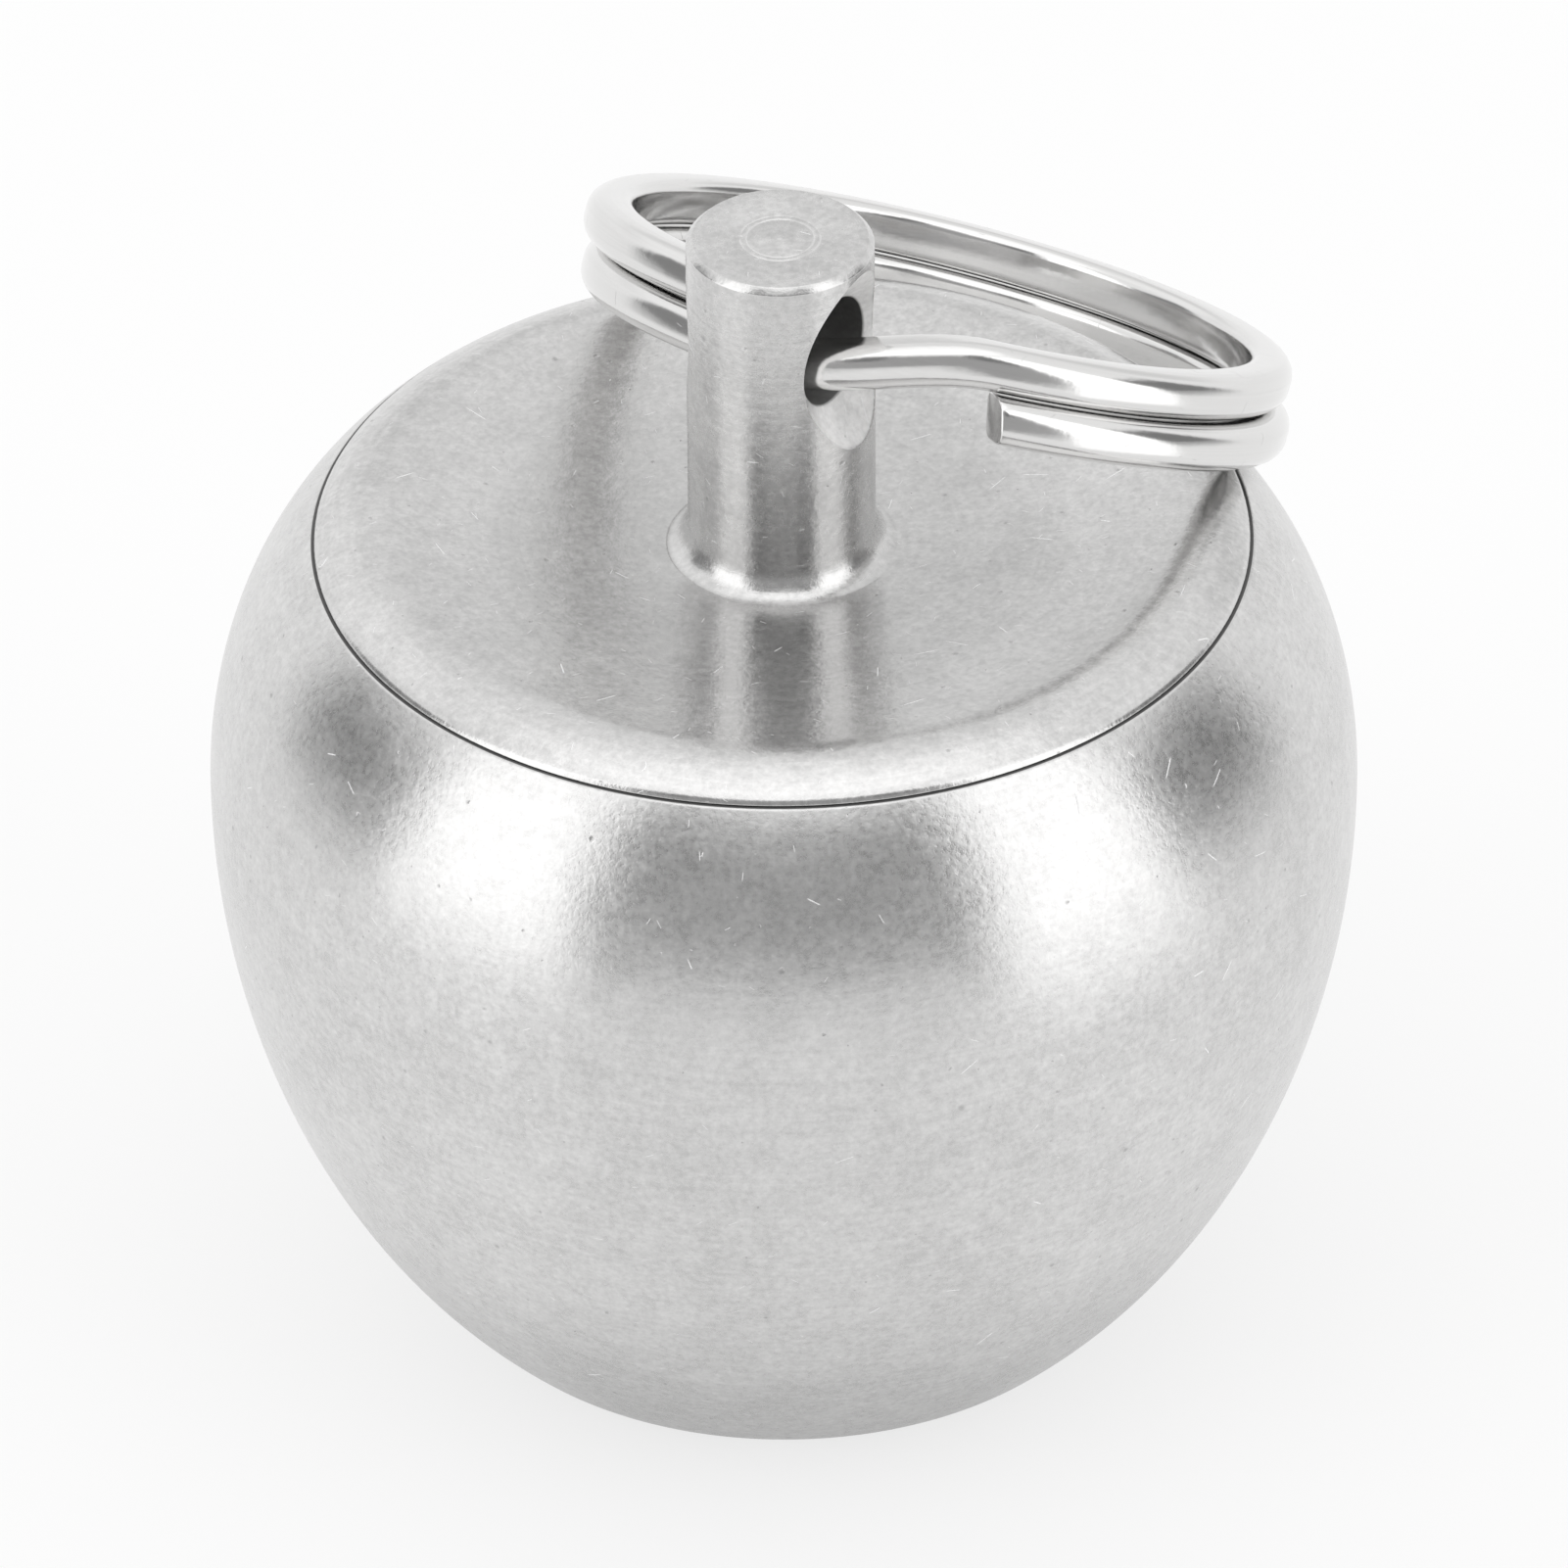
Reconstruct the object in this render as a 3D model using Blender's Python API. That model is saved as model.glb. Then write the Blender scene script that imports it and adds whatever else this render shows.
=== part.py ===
"""Pill capsule container.

An apple-shaped cup turned from steel is closed by a screw lid with a short stem. A rubber ring seals the
joint between them, and a split ring hangs in a countersunk cross hole through the stem.

Metres, +Z up. The origin is the centre of the flat base, and azimuths run from +X towards +Y. The lid's
pivot stands on the turning axis, and the split ring's pivot on the axis of the cross hole.
"""

from math import asin, atan, cos, hypot, pi, radians, sin, sqrt

import bmesh
import bpy
import numpy as np

# Facets
TURNED_SIDES = 48
HOLE_SIDES = 32
SEAL_SECTION_SIDES = 10
RING_STEPS_PER_TURN = 48
FLANK_STEPS = 8
SHOULDER_STEPS = 6
ROLL_STEPS = 6
DISH_STEPS = 5
FILLET_STEPS = 3
WIRE_CORNER_STEPS = 3
GAP_POINTS_PER_SIDE = 12
SMOOTH_BELOW = radians(32)
POINT_DIGITS = 9

# Outside of the cup
BELLY_RADIUS = 0.0150
BELLY_HEIGHT = 0.0153
SHOULDER_RISE = 0.00736
SHOULDER_INSET = 0.0028
SHOULDER_SWEEP = radians(56.7)
FLANK_INSET = 0.00605
FLANK_SWEEP = radians(52.4)
BASE_BREAK = 0.0002

# Seam between cup and lid
SEAM_GAP = 0.00014
SEAM_BREAK = 0.00005
RIM_WIDTH = 0.0015

# Seal, which lies in a groove of the lid and in a pocket of the cup
SEAL_THICKNESS = 0.0010
SEAL_POCKET_GAP = 0.0004
SEAL_GROOVE_GAP = 0.0001
SEAL_END_GAP = 0.0002

# Thread
THREAD_PITCH = 0.0015
THREAD_DEPTH = 0.0005
THREAD_CLEARANCE = 0.00015
THREAD_RUN_OUT = 0.0004
THREAD_CREST_SHARE = 0.16
THREAD_FLANK_SHARE = 0.24
THREAD_SPARE_TURNS = 3

# Skirt of the lid
GROOVE_DEPTH = 0.0007
GROOVE_LIP = 0.0005
LIP_CLEARANCE = 0.0003
SKIRT_LENGTH = 0.0060
SKIRT_CHAMFER = 0.0003
SKIRT_WALL = 0.0012
LID_THICKNESS = 0.0018
RECESS_FILLET = 0.0008

# Inside of the cup
SHELF_GAP = 0.0004
CAVITY_STEP = 0.00075
FLOOR_THICKNESS = 0.0025
FLOOR_FILLET = 0.0015

# Top of the lid
ROLL_RADIUS = 0.0024
DISH_DEPTH = 0.00062
STEM_RADIUS = 0.00244
STEM_RISE = 0.00928
STEM_CHAMFER = 0.00022
FOOT_FILLET = 0.00045

# Cross hole of the stem, with a right-angled countersink at each end
HOLE_AZIMUTH = radians(-32)
HOLE_CLEARANCE = 0.00014
COUNTERSINK_DEPTH = 0.00095
TOP_LAND = 0.00036
CUT_OVERRUN = 0.0005

# Split ring: its ends are given as angles about its centre, counted from the middle of the cross hole, and
# its upper turn lies a little along the hole from the lower one
RING_RADIUS = 0.0095
WIRE_WIDTH = 0.0012
WIRE_THICKNESS = 0.00121
WIRE_CORNER = 0.00045
TURN_GAP = 0.00012
TURN_SHIFT = 0.00028
LOWER_END = radians(38.5)
UPPER_END = radians(-2)
CLIMB_TWIST = radians(18)
REST_GAP = 0.00012
TILT_STEP = radians(0.05)

# Sizes that follow, from the outside of the cup inwards
SEAM_RADIUS = BELLY_RADIUS - SHOULDER_INSET
BASE_RADIUS = BELLY_RADIUS - FLANK_INSET
SHOULDER_ACROSS = SHOULDER_INSET / (1 - cos(SHOULDER_SWEEP))
SHOULDER_UP = SHOULDER_RISE / sin(SHOULDER_SWEEP)
FLANK_ACROSS = FLANK_INSET / (1 - cos(FLANK_SWEEP))
FLANK_UP = BELLY_HEIGHT / sin(FLANK_SWEEP)
POCKET_RADIUS = SEAM_RADIUS - RIM_WIDTH
SEAL_CENTRE_RADIUS = POCKET_RADIUS - SEAL_POCKET_GAP - SEAL_THICKNESS / 2
GROOVE_RADIUS = SEAL_CENTRE_RADIUS - SEAL_THICKNESS / 2 - SEAL_GROOVE_GAP
THREAD_RADIUS = GROOVE_RADIUS + GROOVE_DEPTH
THREAD_ROOT = THREAD_RADIUS - THREAD_DEPTH
BORE_RADIUS = THREAD_RADIUS + THREAD_CLEARANCE
CAVITY_RADIUS = BORE_RADIUS - CAVITY_STEP
RECESS_RADIUS = THREAD_ROOT - SKIRT_WALL

# Heights that follow, from the seam downwards
SEAM_HEIGHT = BELLY_HEIGHT + SHOULDER_RISE
RIM_HEIGHT = SEAM_HEIGHT - SEAM_GAP / 2
LID_FACE = SEAM_HEIGHT + SEAM_GAP / 2
SEAL_HEIGHT = LID_FACE - SEAL_END_GAP - SEAL_THICKNESS / 2
POCKET_FLOOR = SEAL_HEIGHT - SEAL_THICKNESS / 2 - SEAL_END_GAP
LIP_BOTTOM = POCKET_FLOOR - GROOVE_LIP
SKIRT_END = LID_FACE - SKIRT_LENGTH
SHELF_HEIGHT = SKIRT_END - SHELF_GAP

# The rolled edge of the lid carries on the slope of the shoulder at the seam
SHOULDER_SLOPE = hypot(SHOULDER_UP * cos(SHOULDER_SWEEP), SHOULDER_ACROSS * sin(SHOULDER_SWEEP))
ROLL_CENTRE = SEAM_RADIUS - ROLL_RADIUS * SHOULDER_UP * cos(SHOULDER_SWEEP) / SHOULDER_SLOPE
ROLL_HEIGHT = SEAM_HEIGHT - ROLL_RADIUS * SHOULDER_ACROSS * sin(SHOULDER_SWEEP) / SHOULDER_SLOPE
CREST_HEIGHT = ROLL_HEIGHT + ROLL_RADIUS

# The dish leaves the roll at a tangent and is level where it meets the fillet at the foot of the stem
FOOT_RADIUS = STEM_RADIUS + FOOT_FILLET
FOOT_HEIGHT = CREST_HEIGHT - DISH_DEPTH
DISH_SLOPE = 2 * atan(DISH_DEPTH / (ROLL_CENTRE - FOOT_RADIUS))
DISH_RADIUS = (ROLL_CENTRE - FOOT_RADIUS) / sin(DISH_SLOPE) - ROLL_RADIUS
CEILING_HEIGHT = FOOT_HEIGHT - LID_THICKNESS
STEM_TOP = SEAM_HEIGHT + STEM_RISE

# The split ring's wire bows through the straight hole, and its centre is set so that it has equal room
# on both sides there
WIRE_RADIUS = RING_RADIUS - WIRE_WIDTH / 2
RING_INNER_RADIUS = RING_RADIUS - WIRE_WIDTH
BOW = (RING_INNER_RADIUS - sqrt(RING_INNER_RADIUS**2 - STEM_RADIUS**2)) / 2
TURN_SPACING = WIRE_THICKNESS + TURN_GAP
STACK_HEIGHT = WIRE_THICKNESS + TURN_SPACING
HOLE_RADIUS = hypot(WIRE_WIDTH / 2 + BOW, STACK_HEIGHT / 2) + HOLE_CLEARANCE
MOUTH_RADIUS = HOLE_RADIUS + COUNTERSINK_DEPTH
HOLE_HEIGHT = STEM_TOP - TOP_LAND - MOUTH_RADIUS


class Lathe:
    """A turned solid, built between the same columns all round, so that its walls share their edges."""

    def __init__(self, sides):
        self.sides = sides
        self.mesh = bmesh.new()
        self.points = {}

    def point(self, column, radius, height):
        column = column % self.sides if radius > 0 else 0
        key = (column, round(radius, POINT_DIGITS), round(height, POINT_DIGITS))
        if key not in self.points:
            angle = 2 * pi * column / self.sides
            spot = (radius * cos(angle), radius * sin(angle), height)
            self.points[key] = self.mesh.verts.new(spot)
        return self.points[key]

    def face(self, corners):
        """A face on these points, or a triangle or nothing where some of them are one point."""
        before = corners[-1:] + corners[:-1]
        kept = [corner for corner, last in zip(corners, before) if corner is not last]
        if len(kept) > 2:
            self.mesh.faces.new(kept)

    def wall(self, profile):
        """The wall that a profile of radii and heights sweeps."""
        for (radius, height), (next_radius, next_height) in zip(profile, profile[1:]):
            for column in range(self.sides):
                self.face(
                    [
                        self.point(column, radius, height),
                        self.point(column + 1, radius, height),
                        self.point(column + 1, next_radius, next_height),
                        self.point(column, next_radius, next_height),
                    ]
                )

    def thread(self, low, high, wall_radius, crest_radius, phase_share):
        """A wall with one right-handed ridge, which rises from the wall and fades into it at each end."""
        half_crest = THREAD_CREST_SHARE / 2
        half_foot = half_crest + THREAD_FLANK_SHARE
        edges = ((-half_foot, 0), (-half_crest, 1), (half_crest, 1), (half_foot, 0))

        def row_point(row, column):
            if column == self.sides:
                return row_point(row + len(edges), 0)
            turn, edge = divmod(row, len(edges))
            offset, lift = edges[edge]
            height = THREAD_PITCH * (turn + phase_share + offset + column / self.sides)
            height = min(max(height, low), high)
            fade = min(height - low, high - height, THREAD_RUN_OUT) / THREAD_RUN_OUT
            return self.point(column, wall_radius + (crest_radius - wall_radius) * lift * fade, height)

        first = len(edges) * (int(low / THREAD_PITCH) - THREAD_SPARE_TURNS)
        last = len(edges) * (int(high / THREAD_PITCH) + THREAD_SPARE_TURNS)
        for row in range(first, last):
            for column in range(self.sides):
                self.face(
                    [
                        row_point(row, column),
                        row_point(row, column + 1),
                        row_point(row + 1, column + 1),
                        row_point(row + 1, column),
                    ]
                )

    def finish(self, name):
        bmesh.ops.recalc_face_normals(self.mesh, faces=self.mesh.faces)
        return mesh_data(name, self.mesh)


def mesh_data(name, source):
    """The mesh of a bmesh, shaded smooth except over its sharp edges."""
    data = bpy.data.meshes.new(name)
    source.to_mesh(data)
    source.free()
    data.shade_smooth()
    data.set_sharp_from_angle(angle=SMOOTH_BELOW)
    return data


def arc(centre, radii, start, end, steps):
    """Points on an ellipse about a centre, from one angle to another."""
    angles = [start + (end - start) * step / steps for step in range(steps + 1)]
    return [(centre[0] + radii[0] * cos(a), centre[1] + radii[1] * sin(a)) for a in angles]


def clear_scene():
    for item in list(bpy.data.objects):
        bpy.data.objects.remove(item, do_unlink=True)


def material(name, colour, metallic, roughness):
    made = bpy.data.materials.new(name)
    made.use_nodes = True
    shader = made.node_tree.nodes["Principled BSDF"]
    shader.inputs["Base Color"].default_value = (*colour, 1)
    shader.inputs["Metallic"].default_value = metallic
    shader.inputs["Roughness"].default_value = roughness
    return made


def place(name, data, finish=None, parent=None, location=(0, 0, 0), rotation=(0, 0, 0)):
    """An object or, without data, an empty, placed in its parent's frame."""
    made = bpy.data.objects.new(name, data)
    bpy.context.scene.collection.objects.link(made)
    made.parent = parent
    made.location = location
    made.rotation_euler = rotation
    if finish:
        data.materials.append(finish)
    return made


def shoulder_profile():
    """The cup's outside from the belly up to the rim."""
    rise = RIM_HEIGHT - SEAM_BREAK - BELLY_HEIGHT
    centre = (BELLY_RADIUS - SHOULDER_ACROSS, BELLY_HEIGHT)
    radii = (SHOULDER_ACROSS, SHOULDER_UP)
    curve = arc(centre, radii, 0, asin(rise / SHOULDER_UP), SHOULDER_STEPS)
    return curve + [(curve[-1][0] - SEAM_BREAK, RIM_HEIGHT), (POCKET_RADIUS, RIM_HEIGHT)]


def flank_profile():
    """The cup's outside from the middle of the base up to the belly."""
    break_angle = asin((BELLY_HEIGHT - BASE_BREAK) / FLANK_UP)
    centre = (BELLY_RADIUS - FLANK_ACROSS, BELLY_HEIGHT)
    curve = arc(centre, (FLANK_ACROSS, FLANK_UP), -break_angle, 0, FLANK_STEPS)
    return [(0, 0), (BASE_RADIUS - BASE_BREAK, 0)] + curve


def container_cup():
    """The apple-shaped cup, bored straight, with the seal's pocket and the inner thread in its mouth."""
    lathe = Lathe(TURNED_SIDES)
    lathe.wall(flank_profile() + shoulder_profile()[1:])
    thread_top = LIP_BOTTOM - LIP_CLEARANCE
    lathe.wall(
        [
            (POCKET_RADIUS, RIM_HEIGHT),
            (POCKET_RADIUS, POCKET_FLOOR),
            (BORE_RADIUS, POCKET_FLOOR),
            (BORE_RADIUS, thread_top),
        ]
    )
    lathe.thread(SKIRT_END, thread_top, BORE_RADIUS, BORE_RADIUS - THREAD_DEPTH, 0.5)
    floor_centre = (CAVITY_RADIUS - FLOOR_FILLET, FLOOR_THICKNESS + FLOOR_FILLET)
    floor_radii = (FLOOR_FILLET, FLOOR_FILLET)
    lathe.wall([(BORE_RADIUS, SKIRT_END), (BORE_RADIUS, SHELF_HEIGHT), (CAVITY_RADIUS, SHELF_HEIGHT)])
    lathe.wall(
        [(CAVITY_RADIUS, SHELF_HEIGHT)]
        + arc(floor_centre, floor_radii, 0, -pi / 2, FILLET_STEPS)
        + [(0, FLOOR_THICKNESS)]
    )
    return lathe.finish("container_cup")


def lid_top_profile():
    """The lid's outside from the foot of the stem over the dish and the rolled edge to its lower face."""
    dish_centre = (FOOT_RADIUS, FOOT_HEIGHT + DISH_RADIUS)
    dish_radii = (DISH_RADIUS, DISH_RADIUS)
    dish = arc(dish_centre, dish_radii, -pi / 2, DISH_SLOPE - pi / 2, DISH_STEPS)
    edge_angle = asin((LID_FACE + SEAM_BREAK - ROLL_HEIGHT) / ROLL_RADIUS)
    roll_radii = (ROLL_RADIUS, ROLL_RADIUS)
    roll = arc((ROLL_CENTRE, ROLL_HEIGHT), roll_radii, pi / 2 + DISH_SLOPE, edge_angle, ROLL_STEPS)
    return dish[:-1] + roll + [(roll[-1][0] - SEAM_BREAK, LID_FACE)]


def screw_lid():
    """The lid, turned in one piece with its stem and its threaded skirt."""
    lathe = Lathe(TURNED_SIDES)
    foot_centre = (FOOT_RADIUS, FOOT_HEIGHT + FOOT_FILLET)
    foot_radii = (FOOT_FILLET, FOOT_FILLET)
    lathe.wall(
        [(0, STEM_TOP), (STEM_RADIUS - STEM_CHAMFER, STEM_TOP), (STEM_RADIUS, STEM_TOP - STEM_CHAMFER)]
        + arc(foot_centre, foot_radii, pi, 3 * pi / 2, FILLET_STEPS)[:-1]
        + lid_top_profile()
        + [
            (GROOVE_RADIUS, LID_FACE),
            (GROOVE_RADIUS, POCKET_FLOOR),
            (THREAD_RADIUS, POCKET_FLOOR),
            (THREAD_RADIUS, LIP_BOTTOM),
            (THREAD_ROOT, LIP_BOTTOM),
        ]
    )
    thread_end = SKIRT_END + SKIRT_CHAMFER
    lathe.thread(thread_end, LIP_BOTTOM, THREAD_ROOT, THREAD_RADIUS, 0)
    ceiling_centre = (RECESS_RADIUS - RECESS_FILLET, CEILING_HEIGHT - RECESS_FILLET)
    ceiling_radii = (RECESS_FILLET, RECESS_FILLET)
    lathe.wall(
        [(THREAD_ROOT, thread_end), (THREAD_ROOT - SKIRT_CHAMFER, SKIRT_END), (RECESS_RADIUS, SKIRT_END)]
        + arc(ceiling_centre, ceiling_radii, 0, pi / 2, FILLET_STEPS)
        + [(0, CEILING_HEIGHT)]
    )
    return lathe.finish("screw_lid")


def hole_cutter():
    """The cross hole and its two countersinks, turned about Z before the cutter is laid along the hole."""
    cone_start = STEM_RADIUS - COUNTERSINK_DEPTH
    end = STEM_RADIUS + CUT_OVERRUN
    end_radius = MOUTH_RADIUS + CUT_OVERRUN
    lathe = Lathe(HOLE_SIDES)
    lathe.wall(
        [
            (0, end),
            (end_radius, end),
            (HOLE_RADIUS, cone_start),
            (HOLE_RADIUS, -cone_start),
            (end_radius, -end),
            (0, -end),
        ]
    )
    return lathe.finish("cross_hole_cutter")


def seal_ring():
    """The rubber ring at the seam."""
    lathe = Lathe(TURNED_SIDES)
    half = SEAL_THICKNESS / 2
    lathe.wall(arc((SEAL_CENTRE_RADIUS, SEAL_HEIGHT), (half, half), 0, -2 * pi, SEAL_SECTION_SIDES))
    return lathe.finish("seal_ring")


def wire_section():
    """The wire's rounded section, as offsets across and up from its middle."""
    across = WIRE_WIDTH / 2 - WIRE_CORNER
    up = WIRE_THICKNESS / 2 - WIRE_CORNER
    corners = ((across, up), (-across, up), (-across, -up), (across, -up))
    points = []
    for number, corner in enumerate(corners):
        start = number * pi / 2
        radii = (WIRE_CORNER, WIRE_CORNER)
        points += arc(corner, radii, start, start + pi / 2, WIRE_CORNER_STEPS)
    return points


def ring_sections():
    """The split ring's sections in the frame of its pivot, which lies in the middle of the cross hole.

    The wire runs from the lower end once round in the lower turn, climbs through the hole to the upper
    turn until it is over the lower end, and runs once more round to the upper end. Where it climbs, its
    sections stand square to it and their upper sides turn a little outwards.
    """
    start = pi + LOWER_END
    climb = 3 * pi + UPPER_END
    climb_sweep = LOWER_END - UPPER_END
    end = climb + 2 * pi
    section = wire_section()
    rows = []
    for angle in np.append(np.arange(start, end, 2 * pi / RING_STEPS_PER_TURN), end):
        share = min(max((angle - climb) / climb_sweep, 0), 1)
        rise_share = share * share * (3 - 2 * share) - 1 / 2
        steep_share = 4 * share * (1 - share)
        lean = atan(3 / 2 * steep_share * TURN_SPACING / (climb_sweep * WIRE_RADIUS))
        twist = CLIMB_TWIST * steep_share
        row = []
        for across, up in section:
            radius = WIRE_RADIUS + across * cos(twist) + up * sin(twist)
            lift = up * cos(twist) - across * sin(twist)
            back = -lift * sin(lean)
            x = WIRE_RADIUS - BOW + radius * cos(angle) - back * sin(angle)
            y = TURN_SHIFT * rise_share + radius * sin(angle) + back * cos(angle)
            row.append((x, y, TURN_SPACING * rise_share + lift * cos(lean)))
        rows.append(row)
    return rows


def split_ring():
    """The double-turn ring, one length of wire with a cut face at each end."""
    ring = bmesh.new()
    rows = [[ring.verts.new(point) for point in row] for row in ring_sections()]
    for row, next_row in zip(rows, rows[1:]):
        for number in range(len(row)):
            last = number - 1
            ring.faces.new([row[last], next_row[last], next_row[number], row[number]])
    ring.faces.new(rows[0])
    ring.faces.new(rows[-1])
    bmesh.ops.recalc_face_normals(ring, faces=ring.faces)
    return mesh_data("split_ring", ring)


def least_turn_gap():
    """The least gap between the two turns, from points round each section and round those a turn on."""
    rows = np.array(ring_sections())
    sides = np.roll(rows, -1, axis=1) - rows
    shares = np.arange(GAP_POINTS_PER_SIDE) / GAP_POINTS_PER_SIDE
    points = rows[:, :, None] + shares[:, None] * sides[:, :, None]
    points = points.reshape(len(rows), -1, 3)
    turn = RING_STEPS_PER_TURN
    gaps = []
    for first in range(len(rows) - turn):
        others = points[first + turn - 1 : first + turn + 2].reshape(-1, 3)
        gaps.append(np.linalg.norm(points[first][:, None] - others, axis=-1).min())
    return min(gaps)


def rest_gap(tilt, points, profile):
    """The gap between the ring, tilted down from level, and the turned outside of lid and cup."""
    across = points[:, 0] * cos(tilt) + points[:, 2] * sin(tilt)
    height = HOLE_HEIGHT - points[:, 0] * sin(tilt) + points[:, 2] * cos(tilt)
    places = np.stack([np.hypot(across, points[:, 1]), height], axis=1)
    start, run = profile[:-1], profile[1:] - profile[:-1]
    offset = places[:, None] - start[None]
    share = np.clip((offset * run).sum(axis=2) / (run * run).sum(axis=1), 0, 1)
    return np.linalg.norm(offset - share[:, :, None] * run, axis=2).min()


def hanging_tilt():
    """Lowers the split ring by small steps until it lies just above the rim that it leans on."""
    points = np.array(ring_sections()).reshape(-1, 3)
    profile = np.array(lid_top_profile() + shoulder_profile()[::-1])
    tilt = 0.0
    while tilt < pi / 2 and rest_gap(tilt + TILT_STEP, points, profile) > REST_GAP:
        tilt += TILT_STEP
    return tilt


def cut_cross_hole(lid, pivot):
    cutter = place(
        "cross_hole_cutter",
        hole_cutter(),
        parent=pivot,
        location=(0, 0, HOLE_HEIGHT - LID_FACE),
        rotation=(0, pi / 2, HOLE_AZIMUTH),
    )
    cutter.hide_render = True
    cutter.display_type = "WIRE"
    cut = lid.modifiers.new("cross_hole", "BOOLEAN")
    cut.operation = "DIFFERENCE"
    cut.solver = "EXACT"
    cut.object = cutter


def main():
    clear_scene()
    tilt = hanging_tilt()

    place("container_cup", container_cup(), material("cup_steel", (0.56, 0.555, 0.545), 1.0, 0.34))

    lid_pivot = place("lid_pivot", None, location=(0, 0, LID_FACE))
    lid = place(
        "screw_lid",
        screw_lid(),
        material("lid_steel", (0.62, 0.615, 0.605), 1.0, 0.30),
        parent=lid_pivot,
        location=(0, 0, -LID_FACE),
    )
    cut_cross_hole(lid, lid_pivot)
    place(
        "seal_ring",
        seal_ring(),
        material("seal_rubber", (0.02, 0.02, 0.021), 0.0, 0.6),
        parent=lid_pivot,
        location=(0, 0, -LID_FACE),
    )

    ring_pivot = place(
        "ring_pivot",
        None,
        parent=lid_pivot,
        location=(0, 0, HOLE_HEIGHT - LID_FACE),
        rotation=(0, tilt, HOLE_AZIMUTH + pi / 2),
    )
    place(
        "split_ring",
        split_ring(),
        material("ring_steel", (0.66, 0.655, 0.645), 1.0, 0.12),
        parent=ring_pivot,
    )
    print(f"Split ring: least gap between the turns {least_turn_gap() * 1000:.3f} mm")
    print(f"Split ring: tilt at rest {tilt * 180 / pi:.2f} degrees")


main()
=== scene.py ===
"""Pill capsule container: fine turned meshes, steel and rubber finishes, and a plain studio around them.

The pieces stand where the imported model's nodes are, in metres with +Z up, and follow their sizes. Azimuths
run from +X towards +Y.
"""

from math import acos, asin, atan, cos, degrees, hypot, pi, radians, sin, sqrt
from types import SimpleNamespace

import bmesh
import bpy
from bpy.props import FloatProperty, FloatVectorProperty, IntProperty, PointerProperty
from mathutils import Euler, Matrix, Vector


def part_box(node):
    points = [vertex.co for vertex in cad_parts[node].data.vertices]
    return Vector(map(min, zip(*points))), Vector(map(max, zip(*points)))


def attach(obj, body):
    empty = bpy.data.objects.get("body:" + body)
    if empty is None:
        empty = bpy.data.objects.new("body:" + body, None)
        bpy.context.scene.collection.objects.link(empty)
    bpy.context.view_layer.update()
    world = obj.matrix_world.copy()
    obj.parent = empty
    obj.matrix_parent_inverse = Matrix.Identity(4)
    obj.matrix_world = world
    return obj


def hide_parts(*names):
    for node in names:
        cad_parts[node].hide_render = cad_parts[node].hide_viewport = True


bl_info = {
    "name": "Pill Capsule Container",
    "version": (1, 0, 0),
    "blender": (4, 5, 0),
    "location": "3D View > Sidebar > Capsule",
    "description": "Turns the capsule's cup, lid, seal and split ring, and sets a studio for them",
    "category": "Object",
}

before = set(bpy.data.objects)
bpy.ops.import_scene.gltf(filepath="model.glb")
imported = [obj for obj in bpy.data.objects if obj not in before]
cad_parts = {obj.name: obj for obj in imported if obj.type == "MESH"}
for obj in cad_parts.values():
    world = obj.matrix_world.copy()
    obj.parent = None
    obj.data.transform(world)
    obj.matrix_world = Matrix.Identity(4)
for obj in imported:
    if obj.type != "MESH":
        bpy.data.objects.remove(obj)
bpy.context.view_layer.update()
CUP_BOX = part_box("container_cup")
LID_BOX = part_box("screw_lid")

POINT_DIGITS = 9
SHARP_ANGLE = radians(24)
SENSOR_WIDTH = 36
CLIP_SHARE = 0.1
CUT_OVERRUN = 0.0005

THREAD_CREST_SHARE = 0.16
THREAD_FOOT_SHARE = 0.64
THREAD_LAP_SHARE = 0.02
THREAD_LAP_LIFT_SHARE = 0.1
THREAD_SPARE_TURNS = 3
CUP_THREAD_PHASE = 0.5
LID_THREAD_PHASE = 0

FLANK_STEPS = 72
SHOULDER_STEPS = 60
FILLET_STEPS = 12
DISH_STEPS = 32
ROLL_STEPS = 36
CURL_STEPS = 8
EDGE_STEPS = 3
SEAL_SECTION_SIDES = 32
WIRE_CORNER_STEPS = 6
END_STEPS = 4

FACING_DOT = 0.00008
FACING_RINGS = (0.00088, 0.00104)
FACING_WIDTH = 0.00004
FACING_DEPTH = 0.000015
FACING_WEAR_SIZE_SHARE = 1 / 3
FACING_WEAR_LIMITS = (0.42, 0.56)

BUMP_DEPTH = 0.00001
ACROSS_MARKS = 0.25
WHITE = (1.0, 1.0, 1.0, 1.0)

# Noises: the middle of their range, and the detail and roughness of those in the steel
NOISE_MIDDLE = 0.5
GRAIN_NOISE = (3.0, 0.7)
CLOUD_NOISE = (4.0, 0.65)
FINE_NOISE = (3.0, 0.6)

# Scratches and pits: the heights between which the wear sets in, the shares of the cells that keep a mark,
# the least length or size of a mark, and where it starts to fade
WORN_HEIGHTS = (0.018, 0.0235)
SCRATCHED_SHARE = 0.2
WORN_SCRATCHED_SHARE = 0.3
SCRATCH_LEAST_LENGTH = 0.4
SCRATCH_FADE = 0.6
LINE_CORE = 1 / 3
PITTED_SHARE = 0.38
PIT_CLOUDING = 2.5
FEWER_SPECKS = 0.1
PIT_LEAST_SIZE = 0.3
PIT_FADE = 0.1

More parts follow.
